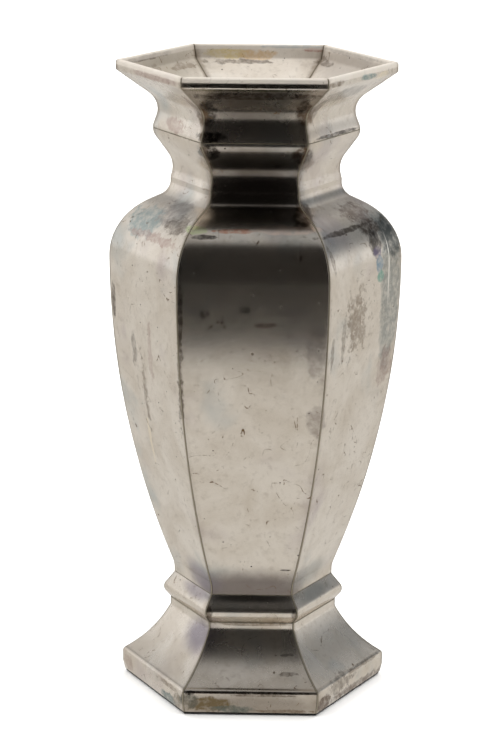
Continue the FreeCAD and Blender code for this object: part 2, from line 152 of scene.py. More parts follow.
class WallSizes(bpy.types.PropertyGroup):
    """Sheet, seams and wear that all four rings share."""
    sheet: length("Sheet", 1.0, "Thickness of every panel")
    seam: length("Seam", 0.5, "Width of an upright solder seam")
    arris: length("Arris wear", 0.3, "Radius worn on a panel's mitred edges")
    recess: length("Seam recess", 0.02, "How far solder lies below the panels' arrises")
    waviness: length("Waviness", 0.16, "Depth of the hollows left by hand polishing")
    step: length("Mesh step", 1.1, "Longest edge along a wall's section")


class MouthSizes(bpy.types.PropertyGroup):
    """Section of the mouth ring."""
    half_width: length("Half width", 46.8, "Axis to the flat of the band")
    lip: length("Lip", 2.2, "Thickness of the turned-over lip")
    lip_round: length("Lip hollow", 3.0, "Hollow inside the lip")
    band: length("Band", 3.5, "Lip down to the round under the band")
    band_round: length("Band arris", 1.0, "Lower arris of the band")
    neck_height: length("Neck height", 7.1, "Narrowest line of the flare above the bulge")
    neck_inset: length("Neck inset", 1.6, "Upper neck inside the bulge")
    neck_round: length("Neck cove", 8.0, "Cove of the flare")


class BodySizes(bpy.types.PropertyGroup):
    """Section of the body ring."""
    widest_drop: length("Widest line", 50.1, "Crest of the bulge down to the widest line")
    shoulder_round: length("Shoulder", 25.4, "Round of the shoulder")
    neck_half_width: length("Neck", 28.1, "Axis to the narrowest line of the neck")
    neck_drop: length("Neck drop", 14.8, "Crest of the bulge down to the neck")
    neck_round: length("Neck cove", 10.0, "Cove of the neck")
    ridge_rise: length("Ridge rise", 0.7, "Ridge at the root of the neck, outside the neck")
    ridge_drop: length("Ridge drop", 19.1, "Crest of the bulge down to the ridge")
    ridge_round: length("Ridge round", 1.3, "Round of the ridge")
    cove_rise: length("Shoulder cove rise", 0.65, "Foot of the neck, outside the neck")
    cove_drop: length("Shoulder cove drop", 20.1, "Crest of the bulge down to that foot")
    cove_round: length("Shoulder cove", 6.3, "Cove between neck and shoulder")
    bulge_rise: length("Bulge rise", 6.5, "Bulge outside the neck")
    bulge_round: length("Bulge", 5.8, "Round of the bulge")
    waist_half_width: length("Waist", 27.5, "Axis to the bottom of the body")
    waist_height: length("Waist edge", 1.5, "Upright edge at the bottom of the body")
    waist_round: length("Waist cove", 10.4, "Cove above the waist seam")


class FootSizes(bpy.types.PropertyGroup):
    """Sections of the collar and of the foot."""
    bead_height: length("Collar line", 4.3, "Fullest line of the collar above its edge")
    bead_rise: length("Collar rise", 3.7, "Collar outside the waist")
    bead_round: length("Collar round", 3.6, "Round of the collar")
    top_half_width: length("Foot top", 28.8, "Axis to the upright strip under the collar")
    half_width: length("Foot", 45.7, "Axis to the fascia")
    strip: length("Strip", 2.5, "Height of the upright strip under the collar")
    cove_round: length("Foot cove", 47.0, "Cove of the foot")
    fascia: length("Fascia", 7.7, "Fascia up to the round of its arris")
    arris_round: length("Foot arris", 2.0, "Arris between cove and fascia")
    tuck_height: length("Tuck height", 3.6, "Lower part of the fascia, which leans in")
    tuck_depth: length("Tuck depth", 0.8, "How far it leans in")


class FinishColours(bpy.types.PropertyGroup):
    """Colours of the metal, its tarnish, the solder and the cloth."""
    plate: colour("Silver plate", "DED6CB", "Plate where it is still bright")
    worn: colour("Worn plate", "C4B8A8", "Plate that is dull and warm with age")
    tarnish: colour("Tarnish", "6B543A", "Brown tarnish in corners and hollows")
    black: colour("Black tarnish", "1E1812", "Pits, specks and the deepest tarnish")
    bloom: colour("Blue bloom", "8FA0A6", "Blue-green film of young tarnish")
    flush: colour("Violet flush", "9C8A93", "Violet film next to the blue")
    solder: colour("Solder", "5A4A33", "Soft solder that has gone brown")
    solder_bright: colour("Bright solder", "CFC39C", "Solder rubbed bright or yellow")
    floor_metal: colour("Floor", "8C8171", "Plate in the bottom of the body")
    plaster: colour("Plaster", "CFC7B5", "Filling of the foot")
    baize: colour("Baize", "0D0C0C", "Felted cloth under the foot")


class StageSettings(bpy.types.PropertyGroup):
    """Floor, surroundings, lights and camera."""
    camera_side: FloatProperty(name="Camera side", default=14.9 * MM, unit="LENGTH",
                               description="Camera to the right of the vase's axis")
    camera_away: FloatProperty(name="Camera distance", default=946.5 * MM, unit="LENGTH",
                               description="Camera in front of the vase's axis")
    camera_height: FloatProperty(name="Camera height", default=383.8 * MM, unit="LENGTH",
                                 description="Camera above the floor")
    camera_pitch: FloatProperty(name="Camera pitch", default=math.radians(15.26),
                                subtype="ANGLE", description="Camera looks down by this")
    camera_yaw: FloatProperty(name="Camera yaw", default=math.radians(1.01),
                              subtype="ANGLE", description="Camera turns to the left by this")
    camera_roll: FloatProperty(name="Camera roll", default=math.radians(0.42),
                               subtype="ANGLE", description="Camera leans to the left by this")
    lens: FloatProperty(name="Lens", default=119.4, description="Focal length in millimetres")
    paper_reach: FloatProperty(name="Paper reach", default=0.35, unit="LENGTH",
                               description="How far the bright paper runs in front of the vase")
    floor_size: FloatProperty(name="Floor size", default=6.0, unit="LENGTH",
                              description="Length and breadth of the floor")
    left_wall: FloatProperty(name="Left wall", default=1.06,
                             description="Brightness of the white wall on the vase's left")
    right_wall: FloatProperty(name="Right wall", default=0.92,
                              description="Brightness of the white wall on its right")
    ceiling: FloatProperty(name="Ceiling", default=0.47,
                           description="Brightness of the ceiling over the vase")
    overhead: FloatProperty(name="Overhead", default=118.0,
                            description="Power of the soft light above, in watts")


SETTINGS = {
    "vase_wall": WallSizes,
    "vase_mouth": MouthSizes,
    "vase_body": BodySizes,
    "vase_foot": FootSizes,
    "vase_colours": FinishColours,
    "vase_stage": StageSettings,
}


# ---------------------------------------------------------------- sections of the walls

class Round:
    """One round of a wall's face: a centre and how far the face lies outwards of it.

    A full round has its centre inside the wall and a positive reach.  A cove has its
    centre outside and a negative reach.  A corner has none.
    """

    def __init__(self, across, height, reach):
        self.across = across
        self.height = height
        self.reach = reach

    @classmethod
    def full(cls, half_width, height, radius, inset=0.0):
        return cls(half_width - radius, height, radius - inset)

    @classmethod
    def cove(cls, half_width, height, radius, inset=0.0):
        return cls(half_width + radius, height, -radius - inset)

    @classmethod
    def corner(cls, half_width, height):
        return cls(half_width, height, 0.0)

    def point(self, normal):
        """Place on the round where the outward normal has this direction."""
        return (self.across + self.reach * math.cos(normal),
                self.height + self.reach * math.sin(normal))


def shared_normal(lower, upper):
    """Outward normal where one round of a face hands over to the next."""
    across = upper.across - lower.across
    height = upper.height - lower.height
    turn = (lower.reach - upper.reach) / math.hypot(across, height)
    return math.atan2(height, across) - math.acos(max(-1.0, min(1.0, turn)))


class Section:
    """A wall cut through: its outer and its inner face, point for point, going up."""

    def __init__(self, step):
        self.step = step
        self.outer = []
        self.inner = []
        self.counts = []

    def trace(self, rounds, ends, breaks, counts):
        """Points (half width, height, normal) along one face.

        `ends` are the normals at its two ends.  `breaks` gives, for a pair of rounds that
        meet at an angle, the normals below and above the angle.
        """
        turns = [ends[0]]
        for index, (lower, upper) in enumerate(zip(rounds, rounds[1:])):
            turn = shared_normal(lower, upper)
            turns.extend(breaks.get(index, (turn, turn)))
        turns.append(ends[1])
        points = []
        fresh = not counts
        wanted = iter(list(counts))
        for index, item in enumerate(rounds):
            start, stop = turns[2 * index], turns[2 * index + 1]
            if fresh:
                swept = abs(item.reach * (stop - start))
                turned = abs(stop - start) / MOST_TURN
                count = 1 if not item.reach else 1 + math.ceil(max(swept / self.step, turned))
                counts.append(count)
            else:
                count = next(wanted)
            for place in range(count):
                share = place / (count - 1) if count > 1 else 0.5
                normal = start + (stop - start) * share
                points.append((*item.point(normal), normal))
            if index == len(rounds) - 1:
                break
            following = rounds[index + 1].point(turns[2 * index + 2])
            leaving = points[-1]
            run = math.dist(leaving[:2], following)
            if fresh:
                count = max(0, math.ceil(run / self.step) - 1)
                counts.append(count)
            else:
                count = next(wanted)
            for place in range(count):
                share = (place + 1) / (count + 1)
                points.append((leaving[0] + (following[0] - leaving[0]) * share,
                               leaving[1] + (following[1] - leaving[1]) * share,
                               turns[2 * index + 2]))
        return points

    def add_faces(self, outer, inner, outer_ends, inner_ends, outer_breaks=None,
                  inner_breaks=None):
        """Trace both faces with the same number of points on like stretches."""
        self.outer = self.trace(outer, outer_ends, outer_breaks or {}, self.counts)
        self.inner = self.trace(inner, inner_ends, inner_breaks or {}, self.counts)
        return self

    def loop(self):
        """The closed outline: up the outer face and down the inner one.

        Each point is (half width, height, direction out of the metal).
        """
        outline = list(self.outer)
        for across, height, normal in reversed(self.inner):
            if math.dist(outline[-1][:2], (across, height)) > SAME_PLACE:
                outline.append((across, height, normal + math.pi))
        return outline


def mouth_section(scene):
    """Crest of the bulge, upper neck, flare, upright band and rounded lip."""
    wall, size, body = scene.vase_wall, scene.vase_mouth, scene.vase_body
    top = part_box("mouth_panel_front")[1][2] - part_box("mouth_panel_front")[0][2]
    crest = body.neck_half_width + body.bulge_rise
    lip_radius = size.lip / 2
    faces = []
    for inset in (0.0, wall.sheet):
        bulge = Round.full(crest, 0, body.bulge_round, inset)
        neck = Round.cove(crest - size.neck_inset, size.neck_height, size.neck_round, inset)
        faces.append([bulge, neck])
    band = Round.full(size.half_width, top - size.band, size.band_round)
    flare = shared_normal(faces[0][1], band)
    hollow_radius = size.lip_round - wall.sheet
    across = size.half_width - size.lip - size.lip_round
    on_flare = (band.across + (band.reach - wall.sheet) * math.cos(flare),
                band.height + (band.reach - wall.sheet) * math.sin(flare))
    rise = ((on_flare[0] - across) * math.cos(flare) - hollow_radius) / math.sin(flare)
    hollow = Round(across, on_flare[1] + rise, hollow_radius)
    lip = (size.half_width - lip_radius, top - lip_radius)
    outer = [*faces[0], band, Round(*lip, lip_radius)]
    inner = [*faces[1], hollow, Round(*lip, -lip_radius)]
    return Section(wall.step).add_faces(outer, inner, (0, math.pi / 2), (0, -math.pi / 2))


def body_section(scene):
    """Waist, belly, shoulder, ridge, neck, up to the crest of the bulge."""
    wall, size = scene.vase_wall, scene.vase_body
    low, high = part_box("body_panel_front")
    top = high[2] - low[2]
    half_width = -low[1]
    widest = top - size.widest_drop
    width_lost = half_width - size.waist_half_width
    height_lost = widest - size.waist_height
    belly = (width_lost ** 2 + height_lost ** 2) / (2 * width_lost) - size.waist_round
    neck = size.neck_half_width
    faces = []
    for inset in (0.0, wall.sheet):
        faces.append([
            Round.corner(size.waist_half_width - inset, 0),
            Round.cove(size.waist_half_width, size.waist_height, size.waist_round, inset),
            Round.full(half_width, widest, belly, inset),
            Round.full(half_width, widest, size.shoulder_round, inset),
            Round.cove(neck + size.cove_rise, top - size.cove_drop, size.cove_round, inset),
            Round.full(neck + size.ridge_rise, top - size.ridge_drop, size.ridge_round, inset),
            Round.cove(neck, top - size.neck_drop, size.neck_round, inset),
            Round.full(neck + size.bulge_rise, top, size.bulge_round, inset),
        ])
    return Section(wall.step).add_faces(*faces, (0, 0), (0, 0))


def collar_section(scene):
    """A full moulding between two sloping faces."""
    wall, size, body = scene.vase_wall, scene.vase_foot, scene.vase_body
    low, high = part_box("collar_strip_front")
    top = high[2] - low[2]
    bead_half_width = body.waist_half_width + size.bead_rise
    bead = Round.full(bead_half_width, size.bead_height, size.bead_round)
    below = Round.corner(size.top_half_width, 0)
    above = Round.corner(body.waist_half_width, top)
    slopes = (shared_normal(below, bead), shared_normal(bead, above))
    inner = [
        Round.corner(below.across - wall.sheet / math.cos(slopes[0]), 0),
        Round.full(bead_half_width, size.bead_height, size.bead_round, wall.sheet),
        Round.corner(above.across - wall.sheet / math.cos(slopes[1]), top),
    ]
    return Section(wall.step / 2).add_faces([below, bead, above], inner, slopes, slopes)


def foot_section(scene):
    """Fascia with its tucked-in edge, arris, cove and the strip under the collar."""
    wall, size = scene.vase_wall, scene.vase_foot
    low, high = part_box("foot_panel_front")
    top = high[2] - low[2]
    faces = []
    breaks = []
    for inset in (0.0, wall.sheet):
        flat = size.half_width - inset
        arris = Round.full(size.half_width, size.fascia, size.arris_round, inset)
        crease = (size.top_half_width - inset, top - size.strip)
        reach = size.cove_round + inset
        # The cove passes through the crease and runs smoothly into the arris.
        apart = math.dist(crease, (arris.across, arris.height))
        beyond = reach + arris.reach
        along = (apart ** 2 + reach ** 2 - beyond ** 2) / (2 * apart)
        aside = math.sqrt(reach ** 2 - along ** 2)
        unit = ((arris.across - crease[0]) / apart, (arris.height - crease[1]) / apart)
        cove = Round(crease[0] + along * unit[0] - aside * unit[1],
                     crease[1] + along * unit[1] + aside * unit[0], -reach)
        at_crease = math.atan2(cove.height - crease[1], cove.across - crease[0])
        faces.append([
            Round.corner(flat - size.tuck_depth, 0),
            Round.corner(flat, size.tuck_height),
            arris,
            cove,
            Round.corner(crease[0], top),
        ])
        breaks.append({3: (at_crease, 0)})
    return Section(wall.step).add_faces(*faces, (0, 0), (0, 0), *breaks)


# ---------------------------------------------------------------- meshes

def unevenness(place, depth):
    """How far hand polishing has sunk the sheet at a place, always inwards."""
    broad = noise.noise(place * DENTS[0])
    narrow = noise.noise(place * DENTS[1] + FINE_DENT_OFFSET)
    return depth * (0.5 + 0.55 * broad + 0.12 * narrow)


def new_object(name, vertices, faces, material, traits=None):
    """Mesh object in the vase's frame, smooth but for its real edges.

    `traits` are numbers at each vertex, by name, that the material reads.
    """
    mesh = bpy.data.meshes.new(name)
    mesh.from_pydata(vertices, [], faces)
    mesh.validate()
    mesh.materials.append(material)
    mesh.shade_smooth()
    mesh.set_sharp_from_angle(angle=SMOOTH_TO)
    for trait, values in (traits or {}).items():
        mesh.attributes.new(trait, "FLOAT", "POINT").data.foreach_set("value", values)
    piece = bpy.data.objects.new(name, mesh)
    bpy.context.scene.collection.objects.link(piece)
    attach(piece, "root")
    return piece


def skin_faces(rings, columns, closed_ends):
    """Faces of a skin of `rings` points round and `columns` columns across, with caps."""
    faces = []
    for column in range(columns - 1):
        for ring in range(rings):
            following = (ring + 1) % rings
            faces.append((column * rings + ring, (column + 1) * rings + ring,
                          (column + 1) * rings + following, column * rings + following))
    for base, flip in ((0, False), ((columns - 1) * rings, True)):
        for first, second, third, fourth in closed_ends:
            corners = [base + first, base + second, base + third, base + fourth]
            corners = list(dict.fromkeys(corners))
            faces.append(tuple(reversed(corners)) if flip else tuple(corners))
    return faces


def end_cap(section, outline):
    """Quads between the outer and the inner face, as numbers of the outline's points."""
    rings = len(outline)
    last = len(section.outer) - 1
    quads = []
    for index in range(last):
        across = rings - 1 - index
        above = rings - 2 - index
        quads.append((index, index + 1, above, across))
    return quads


def panel_columns(arris, count):
    """(share of the half length, inset, shortfall) for each column of a panel."""
    worn = [(arris * (1 - math.cos(turn)), arris * (1 - math.sin(turn)))
            for turn in ARRIS_TURNS]
    columns = [(-1.0, inset, shortfall) for inset, shortfall in reversed(worn)]
    columns += [(2 * index / count - 1, 0.0, arris) for index in range(count + 1)]
    columns += [(1.0, inset, shortfall) for inset, shortfall in worn]
    return columns


def make_panel(scene, name, section, facing, base, material, count):
    """One panel: the wall's section carried across, mitred and worn at both edges."""
    wall = scene.vase_wall
    outline = section.loop()
    turn = Matrix.Rotation(math.radians(facing), 3, "Z")
    seed = Vector((PANEL_SEED * facing, 0.0, 0.0))
    vertices, distances, inside = [], [], []
    columns = panel_columns(wall.arris, count)
    for share, inset, shortfall in columns:
        for index, (across, height, normal) in enumerate(outline):
            out = (math.cos(normal), math.sin(normal))
            half_width = across - inset * out[0]
            level = height - inset * out[1] if 0 < height else height
            half_length = (half_width - wall.seam) * math.tan(HALF_SECTOR) - shortfall
            place = turn @ Vector((half_width, share * half_length, level + base))
            sunk = unevenness(place + seed, wall.waviness)
            place -= turn @ Vector((sunk, 0, 0))
            vertices.append(place)
            distances.append((half_length * (1 - abs(share)) + shortfall) / MM)
            inside.append(1.0 if index >= len(section.outer) else 0.0)
    faces = skin_faces(len(outline), len(columns), end_cap(section, outline))
    return new_object(name, vertices, faces, material,
                      {"seam_distance": distances, "inside": inside})


def make_seam(scene, name, section, base, material):
    """The six upright solder runs of a ring, in one piece, a little below the arrises."""
    wall = scene.vase_wall
    outline = section.loop()
    half_seam = wall.seam / 2
    columns = [-half_seam, -half_seam / 2, 0.0, half_seam / 2, half_seam]
    vertices, faces = [], []
    for facing in FACINGS.values():
        turn = Matrix.Rotation(math.radians(facing) + HALF_SECTOR, 3, "Z")
        start = len(vertices)
        for aside in columns:
            for across, height, normal in outline:
                place = turn @ Vector((across, 0, height + base))
                lump = (noise.noise(place * UPRIGHT_LUMPS[0])
                        + 0.6 * noise.noise(place * UPRIGHT_LUMPS[1]))
                sunk = wall.recess * (1.0 + 0.7 * lump) + unevenness(place, wall.waviness)
                half_width = across - sunk * math.cos(normal)
                level = height - sunk * math.sin(normal) if 0 < height else height
                reach = half_width / math.cos(HALF_SECTOR) - abs(aside) * math.tan(HALF_SECTOR)
                vertices.append(turn @ Vector((reach, aside, level + base)))
        run = skin_faces(len(outline), len(columns), end_cap(section, outline))
        faces.extend(tuple(start + corner for corner in face) for face in run)
    return new_object(name, vertices, faces, material)


def around(section, per_side, wobble):
    """Vertices of a section carried round the hexagon, `per_side` steps on each side."""
    vertices = []
    for facing in FACINGS.values():
        turn = Matrix.Rotation(math.radians(facing), 3, "Z")
        for index in range(per_side):
            share = 2 * index / per_side - 1
            for half_width, height in section:
                place = Vector((half_width, share * half_width * math.tan(HALF_SECTOR), height))
                place.x += wobble(turn @ place)
                vertices.append(turn @ place)
    return vertices


def around_faces(points, stations, closed):
    """Faces between the stations of a section that goes all the way round."""
    faces = []
    for station in range(stations):
        following = (station + 1) % stations
        for index in range(points if closed else points - 1):
            above = (index + 1) % points
            faces.append((station * points + index, following * points + index,
                          following * points + above, station * points + above))
    return faces


def make_level_seam(scene, node, proud, material):
    """Solder between two rings: a low, lumpy bead that runs all the way round."""
    wall = scene.vase_wall
    low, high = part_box(node)
    half_width = high[1]
    middle = (low[2] + high[2]) / 2
    half_height = (high[2] - low[2]) / 2
    section = [(half_width - BEAD_ROUND + BEAD_ROUND * math.cos(turn),
                middle + half_height * math.sin(turn)) for turn in BEAD_TURNS]
    section.extend([(half_width - wall.sheet, high[2]), (half_width - wall.sheet, low[2])])

    def lumps(place):
        if math.hypot(place.x, place.y) < half_width - wall.sheet / 2:
            return 0.0
        lump = (noise.noise(place * LEVEL_LUMPS[0])
                + 0.5 * noise.noise(place * LEVEL_LUMPS[1]))
        return proud * lump - 0.5 * wall.waviness

    vertices = around(section, BEAD_STEPS, lumps)
    faces = around_faces(len(section), BEAD_STEPS * len(FACINGS), closed=True)
    return new_object(f"{node}_run", vertices, faces, material)


def make_baize(material):
    """Felt under the foot: a soft-edged pad, cut by hand and slightly ragged."""
    low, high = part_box("baize_pad")
    half_width, thickness = high[1], high[2] - low[2]
    edge = thickness / 2
    section = [(half_width - edge + edge * math.cos(turn),
                low[2] + edge + edge * math.sin(turn)) for turn in BEAD_TURNS]

    def ragged(place):
        if math.hypot(place.x, place.y) < half_width / 2:
            return 0.0
        return -CLOTH_RAGGED * (0.5 + 0.5 * noise.noise(place * RAGGED_CLOTH))

    stations = CLOTH_STEPS * len(FACINGS)
    vertices = around(section, CLOTH_STEPS, ragged)
    points = len(section)
    faces = around_faces(points, stations, closed=False)
    for height, index, flip in ((low[2], 0, True), (high[2], points - 1, False)):
        centre = len(vertices)
        vertices.append(Vector((0, 0, height)))
        for station in range(stations):
            rim = [station * points + index, (station + 1) % stations * points + index, centre]
            faces.append(tuple(reversed(rim)) if flip else tuple(rim))
    return new_object("baize_pad_felt", vertices, faces, material)


# ---------------------------------------------------------------- materials

def add_node(tree, kind, sockets=None, **settings):
    """Add a node with its settings; a socket gets a value or the output that feeds it."""
    node = tree.nodes.new(kind)
    for name, value in settings.items():
        setattr(node, name, value)
    for socket, value in (sockets or {}).items():
        if isinstance(value, bpy.types.NodeSocket):
            tree.links.new(value, node.inputs[socket])
        else:
            node.inputs[socket].default_value = value
    return node


# Heights in millimetres.  Going up from the first to the second, the seams get cleaner,
# since the belly was polished most; up to the third, at the neck, they get brown again.
BELLY_LOW, BELLY_TOP, NECK_ROOT = 70.0, 190.0, 200.0

# Heights in millimetres between which the lip goes from polished to worn matt.
LIP_TOP = BOX_AT_LOAD[1][2] / MM
LIP_WEAR = (LIP_TOP - 2.3, LIP_TOP - 1.6)

# Sockets of a Mix node that works on colours.
MIX_AMOUNT, MIX_UNDER, MIX_OVER, MIX_RESULT = 0, 6, 7, 2


def new_material(name):
    """Empty node material: its tree, its surface shader and places in millimetres."""
    material = bpy.data.materials.new(name)
    material.use_nodes = True
    tree = material.node_tree
    tree.nodes.clear()
    shader = add_node(tree, "ShaderNodeBsdfPrincipled")
    add_node(tree, "ShaderNodeOutputMaterial", {"Surface": shader.outputs["BSDF"]})
    source = add_node(tree, "ShaderNodeTexCoord")
    scaled = add_node(tree, "ShaderNodeVectorMath",
                      {0: source.outputs["Object"], "Scale": 1 / MM}, operation="SCALE")
    return material, tree, shader, scaled.outputs["Vector"]


# Patches with less speckle than this are even films that fade out: tarnish films,
# and the painted reflections and painted shade.
SMOOTH_FILM_OR_PAINTED_LIGHT = 0.15


class StainOrPaintedLight:
    """A patch on one panel, a stain or painted light: where it is, how far it reaches, its
    tint and its strength.

    `along` is to the right of the panel's middle, seen from outside, `height` is above the
    floor and `half_width` from the axis; `reach` is how far it goes to the sides and up or
    down from there, and `depth` how far into or out of the wall, all in millimetres.  With
    a speckle of 0 the patch has a smooth edge, and a high one breaks it into specks.
    """

    def __init__(self, facing, along, height, half_width, reach, tint, strength=0.8,
                 speckle=0.35, depth=14.0):
        turn = math.radians(FACINGS[facing])
        self.centre = (half_width * math.cos(turn) - along * math.sin(turn),
                       half_width * math.sin(turn) + along * math.cos(turn), height)
        self.turn = turn
        self.reach = (depth, *reach)
        self.tint = tint
        self.strength = strength
        self.speckle = speckle
        self.solid = 0.3 if speckle <= SMOOTH_FILM_OR_PAINTED_LIGHT else 0.72


# The fourth of these is the grey of the painted dark reflections on the front.
BROWN, UMBER, BLACKISH, PAINTED_DARK_REFLECTION = "6E5B47", "4A3B2E", "2A2420", "5C554D"
TEAL, SKY, VIOLET, CREAM, GOLD, PINK = "7D9391", "7690A2", "655C72", "E6DAC4", "CDBB8E", "A89087"
